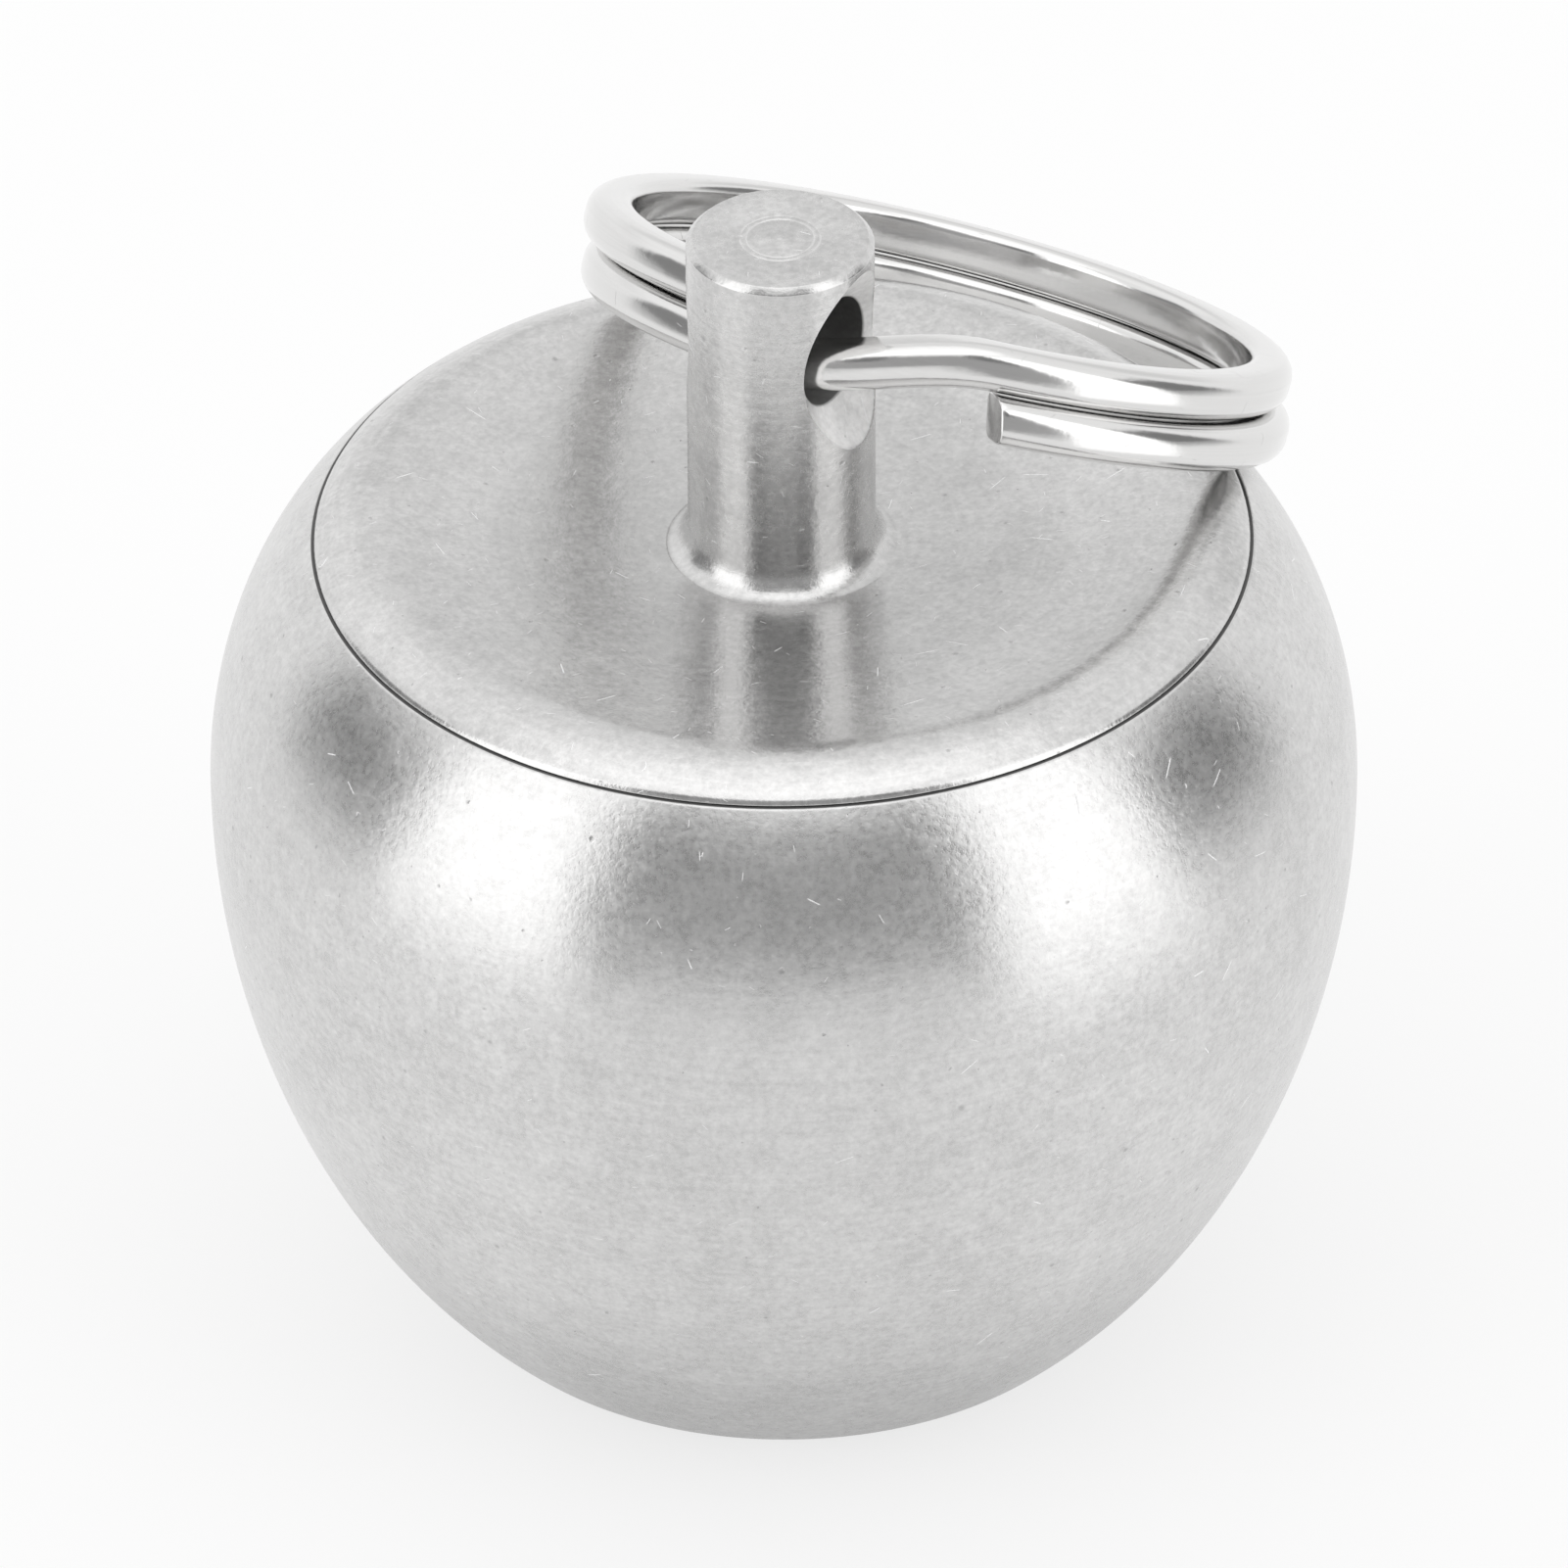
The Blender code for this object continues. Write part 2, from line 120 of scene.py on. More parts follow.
# How strongly each mark of the satin steel shows in its tone, as a dark spot or as a bright spot that is a
# painted glint, in its roughness and in its relief, then its tones in shares of its colour
TONE_MARKS = {"grain": 1.75, "cloud": 0.9, "mottle": 0.9, "lines": 0.6}
DARK_MARKS = {"pits": 0.45, "specks": 0.14}
SCRATCH_GLINT_MARKS = {"scratches": 0.9, "nicks": 0.7}
ROUGH_MARKS = {"cloud": 0.08, "mottle": 0.06, "grain": 0.14, "pits": 0.1, "scratches": 0.35, "nicks": 0.25}
RELIEF_MARKS = {"grain": 0.8, "pits": -0.8, "specks": -0.22, "scratches": -0.3, "nicks": -0.2}
SATIN_TONES = (0.86, 1.13)
PIT_TONE = 0.45
SCRATCH_GLINT_COLOUR = (0.98, 0.98, 0.98, 1.0)
# Painted shade in the seam's gap: its tone in shares of the colour, the roughness it adds, and the softness
# of its sides and its top
SEAM_SHADE_TONE = 0.22
SEAM_SHADE_ROUGHNESS = 0.3
SEAM_SHADE_SOFTNESS = (1 / 4, 1 / 3)

# The lid: where the stem's finish ends in stem radii, how far the painted shade round the stem's foot
# reaches past the foot, and how much each place is dimmed or lightened: painted shade round the foot and
# deep in the cross hole, a painted highlight on the drilled hole and its countersinks
STEM_FINISH_ENDS = (1.02, 1.3)
FOOT_SHADE_REACHES = (0.0025, 0.0055)
FOOT_SHADE_SHARE = 0.11
BORED_HIGHLIGHT = 0.4
BORE_SHADE = 0.8
FACING_LIGHT = 0.9

# The ring's drawn wire: sizes of its lines, waves and dents, its scratches, and how strongly they show
DRAWN_SIZE = 0.00009
WAVE_SIZE = 0.0012
DENT_SIZE = 0.0002
WIRE_SCRATCHES = (0.0012, 0.00022, 0.000014, 0.4)
WIRE_TONES = (0.93, 1.05)
WIRE_DARK_MARKS = {"scratches": 0.4}
WIRE_SCRATCH_TONE = 0.7
WIRE_ROUGH_MARKS = {"waves": 0.06, "scratches": 0.1}
WIRE_RELIEF_MARKS = {"lines": 0.045, "waves": 0.9, "dents": 0.25, "scratches": -0.2}

BLOOM_SIZE = 0.00025
BLOOM_DETAIL = 3.0
BLOOM_TONES = (0.7, 1.6)
BLOOM_DEPTH = 0.000004
BLOOM_ROUGHNESS = 0.2
RUBBER_ROUGHNESS = 0.5

# The tent's patches, painted in turn: azimuths from the front, rises and softness in degrees, and the
# brightness
TENT_PATCHES = (
    (-200, -130, 12, 35, 7, 0.86),
    (130, 200, 12, 35, 7, 0.86),
    (-200, -130, 35, 60, 7, 1.0),
    (130, 200, 35, 60, 7, 1.0),
    (-160, -112, 15, 75, 12, 1.12),
    (-36, 36, -80, -14, 10, 0.98),
    (-116, -81, -4, 27, 5, 0.28),
    (79, 112, -6, 27, 5, 0.24),
    (-41, 42, -3, 51, 4, 0.43),
    (-44, -22, 30, 56, 4, 0.2),
    (22, 45, 30, 56, 4, 0.2),
    (-81, -41, -8, 56, 4, 1.75),
    (41, 79, -13, 56, 2.5, 1.75),
)
CEILING_RISES = (56, 66)
CEILING_FALL = 0.6
FLOOR_COLOUR = (0.86, 0.86, 0.86, 1.0)
FLOOR_WHITE_SHARE = 0.72
# A painted shadow in the floor's glow round the object: the radii between which it fades out, and its level
FLOOR_SHADE_RADII = (0.009, 0.016)
FLOOR_SHADE_LEVEL = 0.72


def length(name, description, default):
    return FloatProperty(name=name, description=description, default=default, unit="LENGTH", precision=5)


def angle(name, description, default):
    return FloatProperty(name=name, description=description, default=radians(default), subtype="ANGLE")


def level(name, description, default, **limits):
    return FloatProperty(name=name, description=description, default=default, min=0, **limits)


def share(name, description, default):
    return level(name, description, default, subtype="FACTOR", max=1)


def count(name, description, default):
    return IntProperty(name=name, description=description, default=default, min=1)


def colour(name, description, default):
    limits = {"subtype": "COLOR", "min": 0, "max": 1}
    return FloatVectorProperty(name=name, description=description, default=default, **limits)


class TurnedSizes(bpy.types.PropertyGroup):
    """Sizes of the cup, the lid and the seal."""

    sides: count("Sides", "Facets round the axis", 288)
    belly_radius: length("Belly radius", "Widest radius of the cup", CUP_BOX[1].x)
    belly_height: length("Belly height", "Height of the widest place", 0.0153)
    shoulder_inset: length("Shoulder inset", "How far the seam lies inside the belly", 0.0028)
    shoulder_sweep: angle("Shoulder sweep", "Part of an ellipse that the shoulder follows", 56.7)
    flank_inset: length("Flank inset", "How far the base lies inside the belly", 0.00605)
    flank_sweep: angle("Flank sweep", "Part of an ellipse that the flank follows", 52.4)
    base_break: length("Base break", "Rounding of the edge of the base", 0.0002)
    seam_gap: length("Seam gap", "Open joint between cup and lid", 0.00014)
    seam_line: length("Seam line", "Height of the seam between the outer edges", 0.000035)
    seam_inset: length("Seam inset", "How far the lid's edge lies inside the seam", 0.000032)
    seam_break: length("Seam break", "Rounding of the cup's edge at the seam", 0.000045)
    lid_curl: length("Lid curl", "Rounding of the lid's lower edge", 0.00027)
    curl_end: angle("Curl end", "How far the lid's lower edge looks up where it ends", 16)
    lid_break: length("Lid break", "Rounding of the lid's edge at the seam", 0.00003)
    # The seam shade is painted shade: a dark ring on the rim where the seam's gap lies in shade
    seam_shade_reach: length("Seam shade reach", "How far the painted shade on the rim reaches past the seam", 0.000045)
    seam_shade_width: length("Seam shade width", "Width of the ring of painted shade on the rim", 0.0003)
    rim_width: length("Rim width", "Width of the cup's rim", 0.0015)
    seal_thickness: length("Seal thickness", "Thickness of the rubber seal", 0.0010)
    seal_pocket_gap: length("Seal to pocket", "Room outside the seal", 0.0004)
    seal_groove_gap: length("Seal to groove", "Room inside the seal", 0.0001)
    seal_end_gap: length("Seal ends", "Room above and below the seal", 0.0002)
    thread_pitch: length("Thread pitch", "Rise of the thread in one turn", 0.0015)
    thread_depth: length("Thread depth", "Depth of the thread", 0.0005)
    thread_clearance: length("Thread clearance", "Room between the threads", 0.00015)
    thread_run_out: length("Thread run-out", "Height over which a thread fades out", 0.0004)
    groove_depth: length("Groove depth", "Depth of the seal's groove", 0.0007)
    groove_lip: length("Groove lip", "Thickness of the lip under the seal", 0.0005)
    lip_clearance: length("Lip clearance", "Room between the lip and the cup's thread", 0.0003)
    skirt_chamfer: length("Skirt chamfer", "Chamfer at the end of the lid's skirt", 0.0003)
    skirt_wall: length("Skirt wall", "Wall of the skirt inside its thread", 0.0012)
    lid_thickness: length("Lid thickness", "Thickness of the lid under the dish", 0.00162)
    recess_fillet: length("Recess fillet", "Fillet at the recess's ceiling", 0.0008)
    shelf_gap: length("Shelf gap", "Room under the lid's skirt", 0.0004)
    cavity_step: length("Cavity step", "Step from the bore to the cavity", 0.00075)
    floor_thickness: length("Floor thickness", "Thickness of the cup's floor", 0.0025)
    floor_fillet: length("Floor fillet", "Fillet round the cup's floor", 0.0015)
    roll_radius: length("Roll radius", "Rounding of the lid's rolled edge", 0.0024)
    dish_slope: angle("Dish slope", "Slope of the dish at the rolled edge", 9.7)
    foot_slope: angle("Foot slope", "Slope of the dish at the stem's foot", 2.6)
    stem_radius: length("Stem radius", "Radius of the stem", 0.00244)
    stem_chamfer: length("Stem chamfer", "Chamfer at the top of the stem", 0.00016)
    foot_fillet: length("Foot fillet", "Fillet at the foot of the stem", 0.00072)
    foot_end: angle("Foot end", "Slope of the fillet where it meets the dish", 12)
    edge_round: length("Edge rounding", "Rounding of the crisp turned edges", 0.00003)
    hole_sides: count("Hole sides", "Facets round the cross hole", 128)
    hole_azimuth: angle("Hole azimuth", "Direction of the cross hole", -32)
    hole_clearance: length("Hole clearance", "Room round the split ring in its hole", 0.00014)
    hole_drop: length("Hole drop", "Depth of the cross hole's axis below the stem's top", 0.0029422)
    countersink_depth: length("Countersink depth", "Depth of the countersinks", 0.00086)
    countersink_width: length("Countersink width", "How far the countersinks widen the hole", 0.00116)


class RingSizes(bpy.types.PropertyGroup):
    """Sizes of the split ring."""

    steps: count("Steps", "Sections in one turn", 288)
    ring_radius: length("Ring radius", "Outer radius of the ring", 0.0095)
    wire_width: length("Wire width", "Width of the wire across the ring", 0.0012)
    wire_thickness: length("Wire thickness", "Thickness of the wire along the ring's axis", 0.00125)
    wire_corner: length("Outer wire corner", "Rounding of the wire's outer corners", 0.0005)
    inner_corner: length("Inner wire corner", "Rounding of the wire's inner corners", 0.0003)
    end_round: length("End rounding", "Rounding of the edges of the cut ends", 0.00007)
    turn_gap: length("Turn gap", "Gap between the two turns", 0.00004)
    turn_shift: length("Turn shift", "How far the turns lie apart along the hole", 0.00028)
    lower_end: angle("Lower end", "Place of the lower cut end", 38.5)
    cut_skew: share("Cut skew", "How far the lower end is cut back on its outside", 0.18)
    cut_slant: share("Cut slant", "How far the lower end is cut back at its bottom", 0.21)
    cut_sweep: angle("Cut sweep", "How far the slant of the lower end reaches along the wire", 9)
    upper_end: angle("Upper end", "Place of the upper cut end", -2)
    climb_twist: angle("Climb twist", "How far the wire turns outwards where it climbs", 18)
    tilt: angle("Tilt", "How far the ring leans down from level at rest", 27.8)


class FinishSettings(bpy.types.PropertyGroup):
    """Colours and surface marks of the steel and the rubber."""

    cup_colour: colour("Cup colour", "Steel of the cup", (0.635, 0.632, 0.628))
    lid_colour: colour("Lid colour", "Steel of the lid", (0.625, 0.622, 0.618))
    ring_colour: colour("Ring colour", "Polished steel of the split ring", (0.72, 0.716, 0.71))
    rubber_colour: colour("Rubber colour", "Rubber of the seal", (0.02, 0.02, 0.021))
    cup_roughness: share("Cup roughness", "Roughness of the cup", 0.29)
    lid_roughness: share("Lid roughness", "Roughness of the lid", 0.225)
    stem_roughness: share("Stem roughness", "Roughness of the stem", 0.26)
    bored_roughness: share("Bored roughness", "Roughness of the cross hole and its countersinks", 0.5)
    ring_roughness: share("Ring roughness", "Roughness of the split ring", 0.15)
    streak: share("Streak", "How far turning marks stretch the reflections across them", 0.5)
    grain_size: length("Grain size", "Size of the fine grain of the satin steel", 0.0002)
    cloud_size: length("Cloud size", "Size of the clouds in the satin steel", 0.0028)
    mottle_size: length("Mottle size", "Size of the soft mottling of the satin steel", 0.0008)
    mark_size: length("Mark size", "Spacing of the turning marks", 0.00016)
    cup_marks: length("Cup marks", "Depth of the cup's turning marks", 0.0000008)
    lid_marks: length("Lid marks", "Depth of the lid's turning marks", 0.0000012)
    stem_marks: length("Stem marks", "Depth of the stem's turning marks", 0.000006)
    pit_spacing: length("Pit spacing", "Spacing of the larger pits", 0.0015)
    pit_radius: length("Pit radius", "Radius of the larger pits", 0.00012)
    speck_spacing: length("Speck spacing", "Spacing of the small pits", 0.0007)
    speck_radius: length("Speck radius", "Radius of the small pits", 0.00005)
    scratch_spacing: length("Scratch spacing", "Spacing of the long scratches", 0.0026)
    scratch_length: length("Scratch length", "Half the length of a long scratch", 0.0004)
    scratch_width: length("Scratch width", "Half the width of a long scratch", 0.00002)
    nick_spacing: length("Nick spacing", "Spacing of the short scratches", 0.0011)
    nick_length: length("Nick length", "Half the length of a short scratch", 0.00016)
    nick_width: length("Nick width", "Half the width of a short scratch", 0.000013)


class StageSettings(bpy.types.PropertyGroup):
    """The floor, the light and the camera."""

    floor_size: length("Floor size", "Side of the floor", 3.0)
    tent_level: level("Tent level", "Brightness of the white walls", 1.05)
    ceiling_level: level("Ceiling level", "Brightness of the light overhead", 1.47)
    camera_distance: length("Camera distance", "From the camera to the aim", 0.6)
    camera_elevation: angle("Camera elevation", "Height of the camera above the horizon", 35.09)
    camera_roll: angle("Camera roll", "Roll of the camera", -0.43)
    view_width: length("View width", "Width of the picture at the aim", 0.041044)
    aim_height: length("Aim height", "Height of the aim over the base", 0.01477)


def turned_sizes(scene):
    """The turned sizes with those that follow from them."""
    base = scene.capsule_turned
    ring = scene.capsule_ring
    s = SimpleNamespace(**{name: getattr(base, name) for name in base.__annotations__})
    s.rim_height = CUP_BOX[1].z
    s.seam_height = s.rim_height + s.seam_gap / 2
    s.lid_face = s.seam_height + s.seam_gap / 2
    s.skirt_end = LID_BOX[0].z
    s.stem_top = LID_BOX[1].z
    s.seam_radius = s.belly_radius - s.shoulder_inset
    s.base_radius = s.belly_radius - s.flank_inset
    s.shoulder_across = s.shoulder_inset / (1 - cos(s.shoulder_sweep))
    s.shoulder_up = (s.seam_height - s.belly_height) / sin(s.shoulder_sweep)
    s.flank_across = s.flank_inset / (1 - cos(s.flank_sweep))
    s.flank_up = s.belly_height / sin(s.flank_sweep)
    s.pocket_radius = s.seam_radius - s.rim_width
    s.seal_centre_radius = s.pocket_radius - s.seal_pocket_gap - s.seal_thickness / 2
    s.groove_radius = s.seal_centre_radius - s.seal_thickness / 2 - s.seal_groove_gap
    s.thread_radius = s.groove_radius + s.groove_depth
    s.thread_root = s.thread_radius - s.thread_depth
    s.bore_radius = s.thread_radius + s.thread_clearance
    s.cavity_radius = s.bore_radius - s.cavity_step
    s.recess_radius = s.thread_root - s.skirt_wall
    s.seal_height = s.lid_face - s.seal_end_gap - s.seal_thickness / 2
    s.pocket_floor = s.seal_height - s.seal_thickness / 2 - s.seal_end_gap
    s.lip_bottom = s.pocket_floor - s.groove_lip
    s.shelf_height = s.skirt_end - s.shelf_gap
    slope_up = s.shoulder_up * cos(s.shoulder_sweep)
    slope_across = s.shoulder_across * sin(s.shoulder_sweep)
    s.roll_centre = s.seam_radius - s.roll_radius * slope_up / hypot(slope_up, slope_across)
    s.roll_height = s.seam_height - s.roll_radius * slope_across / hypot(slope_up, slope_across)
    s.foot_radius = s.stem_radius + s.foot_fillet
    s.dish_start = s.foot_radius - s.foot_fillet * sin(s.foot_end)
    dish_width = s.roll_centre - s.roll_radius * sin(s.dish_slope) - s.dish_start
    s.dish_radius = dish_width / (sin(s.dish_slope) - sin(s.foot_slope))
    reach = s.roll_radius + s.dish_radius
    s.dish_centre = (s.roll_centre - reach * sin(s.dish_slope), s.roll_height + reach * cos(s.dish_slope))
    s.dish_bottom = s.dish_centre[1] - s.dish_radius * cos(s.foot_slope)
    s.ceiling_height = s.dish_bottom - s.lid_thickness
    s.wire_radius = ring.ring_radius - ring.wire_width / 2
    inner = ring.ring_radius - ring.wire_width
    s.bow = (inner - sqrt(inner**2 - s.stem_radius**2)) / 2
    s.turn_spacing = ring.wire_thickness + ring.turn_gap
    stack = ring.wire_thickness + s.turn_spacing
    corner = ring.wire_corner
    wire_reach = hypot(ring.wire_width / 2 + s.bow - corner, stack / 2 - corner) + corner
    s.hole_radius = wire_reach + s.hole_clearance
    s.mouth_radius = s.hole_radius + s.countersink_width
    s.hole_height = s.stem_top - s.hole_drop
    return s


def arc(centre, radius, start, end, steps, up_radius=None):
    """Points on a circle about a centre, or on an ellipse that has its own radius upwards."""
    angles = [start + (end - start) * step / steps for step in range(steps + 1)]
    return [(centre[0] + radius * cos(a), centre[1] + (up_radius or radius) * sin(a)) for a in angles]


def rounded(points, radius, steps=EDGE_STEPS):
    """A profile with a short curve in place of each corner between its ends."""
    made = [points[0]]
    for before, corner, after in zip(points, points[1:], points[2:]):
        here = Vector(corner)
        back = Vector(before) - here
        ahead = Vector(after) - here
        reach = min(radius, back.length / 2, ahead.length / 2)
        first = here + back.normalized() * reach
        last = here + ahead.normalized() * reach
        for step in range(steps + 1):
            t = step / steps
            made.append(tuple(first * (1 - t) ** 2 + here * 2 * t * (1 - t) + last * t**2))
    return made + [points[-1]]


class Lathe:
    """A turned solid, built between the same columns all round, so that its walls share their edges."""

    def __init__(self, sides):
        self.sides = sides
        self.mesh = bmesh.new()
        self.points = {}

    def point(self, column, radius, height):
        column = column % self.sides if radius > 0 else 0
        key = (column, round(radius, POINT_DIGITS), round(height, POINT_DIGITS))
        if key not in self.points:
            turn = 2 * pi * column / self.sides
            self.points[key] = self.mesh.verts.new((radius * cos(turn), radius * sin(turn), height))
        return self.points[key]

    def face(self, corners):
        """A face on these points, or a triangle or nothing where some of them are one point."""
        before = corners[-1:] + corners[:-1]
        kept = [corner for corner, last in zip(corners, before) if corner is not last]
        if len(kept) > 2:
            self.mesh.faces.new(kept)

    def skin(self, rows, point_at):
        """Faces all round from each of the rows to the next, on the points that a row and a column give."""
        for row in rows:
            for column in range(self.sides):
                corners = ((row, column), (row, column + 1), (row + 1, column + 1), (row + 1, column))
                self.face([point_at(*corner) for corner in corners])

    def wall(self, profile):
        """The wall that a profile of radii and heights sweeps."""
        self.skin(range(len(profile) - 1), lambda row, column: self.point(column, *profile[row]))

    def thread(self, s, low, high, wall_radius, crest_radius, phase_share):
        """A wall with one right-handed ridge, which rises from the wall and fades into it at each end."""
        half_crest = THREAD_CREST_SHARE / 2
        half_foot = THREAD_FOOT_SHARE / 2
        lap = THREAD_LAP_SHARE
        edges = (
            (-half_foot - lap, 0),
            (-half_foot + lap, THREAD_LAP_LIFT_SHARE),
            (-half_crest - lap, 1 - THREAD_LAP_LIFT_SHARE),
            (-half_crest + lap, 1),
            (half_crest - lap, 1),
            (half_crest + lap, 1 - THREAD_LAP_LIFT_SHARE),
            (half_foot - lap, THREAD_LAP_LIFT_SHARE),
            (half_foot + lap, 0),
        )

        def row_point(row, column):
            if column == self.sides:
                return row_point(row + len(edges), 0)
            turn, edge = divmod(row, len(edges))
            offset, lift = edges[edge]
            height = s.thread_pitch * (turn + phase_share + offset + column / self.sides)
            height = min(max(height, low), high)
            fade = min(height - low, high - height, s.thread_run_out) / s.thread_run_out
            return self.point(column, wall_radius + (crest_radius - wall_radius) * lift * fade, height)

        first = len(edges) * (int(low / s.thread_pitch) - THREAD_SPARE_TURNS)
        last = len(edges) * (int(high / s.thread_pitch) + THREAD_SPARE_TURNS)
        self.skin(range(first, last), row_point)


def shown_object(name, made, finish):
    """An object on a finished bmesh, shaded smooth except over its sharp edges."""
    bmesh.ops.recalc_face_normals(made, faces=made.faces)
    data = bpy.data.meshes.new(name)
    made.to_mesh(data)
    made.free()
    data.materials.append(finish)
    piece = bpy.data.objects.new(name, data)
    bpy.context.scene.collection.objects.link(piece)
    shade(data)
    return piece


def shade(data):
    data.shade_smooth()
    data.set_sharp_from_angle(angle=SHARP_ANGLE)


def cup_mesh(s):
    """The apple-shaped cup with its pocket, thread and cavity."""
    lathe = Lathe(s.sides)
    break_angle = asin((s.belly_height - s.base_break) / s.flank_up)
    flank_centre = (s.belly_radius - s.flank_across, s.belly_height)
    flank = arc(flank_centre, s.flank_across, -break_angle, 0, FLANK_STEPS, s.flank_up)
    rise = s.rim_height - s.seam_break - s.belly_height
    shoulder_centre = (s.belly_radius - s.shoulder_across, s.belly_height)
    shoulder_end = asin(rise / s.shoulder_up)
    shoulder = arc(shoulder_centre, s.shoulder_across, 0, shoulder_end, SHOULDER_STEPS, s.shoulder_up)
    base_corner = (s.base_radius - s.base_break / 2, 0)
    base_edge = rounded([(s.base_radius - 3 * s.base_break, 0), base_corner, flank[0]], s.base_break)
    lathe.wall([(0, 0), (s.base_radius / 2, 0)] + base_edge[:-1] + flank + shoulder[1:])
    rim_edge = shoulder[-1]
    rim_corner = (rim_edge[0] - s.seam_break, s.rim_height)
    rim_middle = (s.pocket_radius + s.rim_width / 2, s.rim_height)
    lathe.wall(rounded([rim_edge, rim_corner, rim_middle], s.seam_break))
    thread_top = s.lip_bottom - s.lip_clearance
    pocket = [
        rim_middle,
        (s.pocket_radius, s.rim_height),
        (s.pocket_radius, s.pocket_floor),
        (s.bore_radius, s.pocket_floor),
        (s.bore_radius, thread_top),
    ]
    lathe.wall(rounded(pocket, s.edge_round))
    thread_crest = s.bore_radius - s.thread_depth
    lathe.thread(s, s.skirt_end, thread_top, s.bore_radius, thread_crest, CUP_THREAD_PHASE)
    floor_centre = (s.cavity_radius - s.floor_fillet, s.floor_thickness + s.floor_fillet)
    cavity = [
        (s.bore_radius, s.skirt_end),
        (s.bore_radius, s.shelf_height),
        (s.cavity_radius, s.shelf_height),
        (s.cavity_radius, floor_centre[1]),
    ]
    lathe.wall(rounded(cavity, s.edge_round))
    floor = arc(floor_centre, s.floor_fillet, 0, -pi / 2, FILLET_STEPS)
    lathe.wall(floor + [(0, s.floor_thickness)])
    return lathe.mesh


def stem_top_profile(s):
    """The stem's faced top with the marks that the facing tool left, from the middle to the chamfer."""
    profile = [(0, s.stem_top), (FACING_DOT, s.stem_top - FACING_DEPTH)]
    for radius in FACING_RINGS:
        profile += [
            (radius - FACING_WIDTH, s.stem_top),
            (radius, s.stem_top - FACING_DEPTH),
            (radius + FACING_WIDTH, s.stem_top),
        ]
    return profile


def lid_mesh(s):
    """The lid with its stem, dish, rolled edge, groove, thread and recess."""
    lathe = Lathe(s.sides)
    foot_centre = (s.foot_radius, s.dish_bottom + s.foot_fillet * cos(s.foot_end))
    foot = arc(foot_centre, s.foot_fillet, pi, 3 * pi / 2 - s.foot_end, FILLET_STEPS)
    stem = [
        (s.stem_radius - 2 * s.stem_chamfer, s.stem_top),
        (s.stem_radius - s.stem_chamfer, s.stem_top),
        (s.stem_radius, s.stem_top - s.stem_chamfer),
        (s.stem_radius, s.stem_top - 2 * s.stem_chamfer),
    ]
    stem = rounded(stem, s.edge_round)
    dish = arc(s.dish_centre, s.dish_radius, s.foot_slope - pi / 2, s.dish_slope - pi / 2, DISH_STEPS)
    crease = rounded([foot[-2], foot[-1], dish[1]], s.edge_round)
    edge_height = s.rim_height + s.seam_line
    edge_radius = s.seam_radius - s.seam_inset
    across = edge_radius - s.lid_curl * cos(s.curl_end) - s.roll_centre
    reach = s.roll_radius - s.lid_curl
    curl_start = acos(across / reach)
    roll_centre = (s.roll_centre, s.roll_height)
    roll = arc(roll_centre, s.roll_radius, pi / 2 + s.dish_slope, curl_start, ROLL_STEPS)
    curl_centre = (s.roll_centre + across, s.roll_height + reach * sin(curl_start))
    curl = arc(curl_centre, s.lid_curl, curl_start, s.curl_end, CURL_STEPS)
    lathe.wall(stem_top_profile(s) + stem + foot[:-2] + crease + dish[2:-1] + roll[:-1] + curl)
    rim = s.pocket_radius + s.rim_width / 2
    lathe.wall(rounded([curl[-1], (edge_radius, edge_height), (rim, edge_height)], s.lid_break))
    lathe.wall([(rim, edge_height), (rim, s.lid_face), (s.pocket_radius, s.lid_face)])
    groove = [
        (s.pocket_radius, s.lid_face),
        (s.groove_radius, s.lid_face),
        (s.groove_radius, s.pocket_floor),
        (s.thread_radius, s.pocket_floor),
        (s.thread_radius, s.lip_bottom),
        (s.thread_root, s.lip_bottom),
    ]
    lathe.wall(rounded(groove, s.edge_round))
    thread_end = s.skirt_end + s.skirt_chamfer
    lathe.thread(s, thread_end, s.lip_bottom, s.thread_root, s.thread_radius, LID_THREAD_PHASE)
    skirt = [
        (s.thread_root, thread_end),
        (s.thread_root - s.skirt_chamfer, s.skirt_end),
        (s.recess_radius, s.skirt_end),
        (s.recess_radius, s.ceiling_height - s.recess_fillet),
    ]
    lathe.wall(rounded(skirt, s.edge_round))
    ceiling_centre = (s.recess_radius - s.recess_fillet, s.ceiling_height - s.recess_fillet)
    ceiling = arc(ceiling_centre, s.recess_fillet, 0, pi / 2, FILLET_STEPS)
    lathe.wall(ceiling + [(0, s.ceiling_height)])
    return lathe.mesh


def hole_cutter(s):
    """The cross hole and its two countersinks, in place."""
    start = s.stem_radius - s.countersink_depth
    end = s.stem_radius + CUT_OVERRUN
    end_radius = s.mouth_radius + CUT_OVERRUN * s.countersink_width / s.countersink_depth
    half = rounded([(end_radius, end), (s.hole_radius, start), (s.hole_radius, 0)], s.edge_round)
    lathe = Lathe(s.hole_sides)
    other = [(radius, -height) for radius, height in reversed(half[:-1])]
    lathe.wall([(0, end)] + half + other + [(0, -end)])
    turn = Matrix.Rotation(s.hole_azimuth, 4, "Z") @ Matrix.Rotation(pi / 2, 4, "Y")
    place = Matrix.Translation((0, 0, s.hole_height)) @ turn
    bmesh.ops.transform(lathe.mesh, matrix=place, verts=lathe.mesh.verts)
    return lathe.mesh


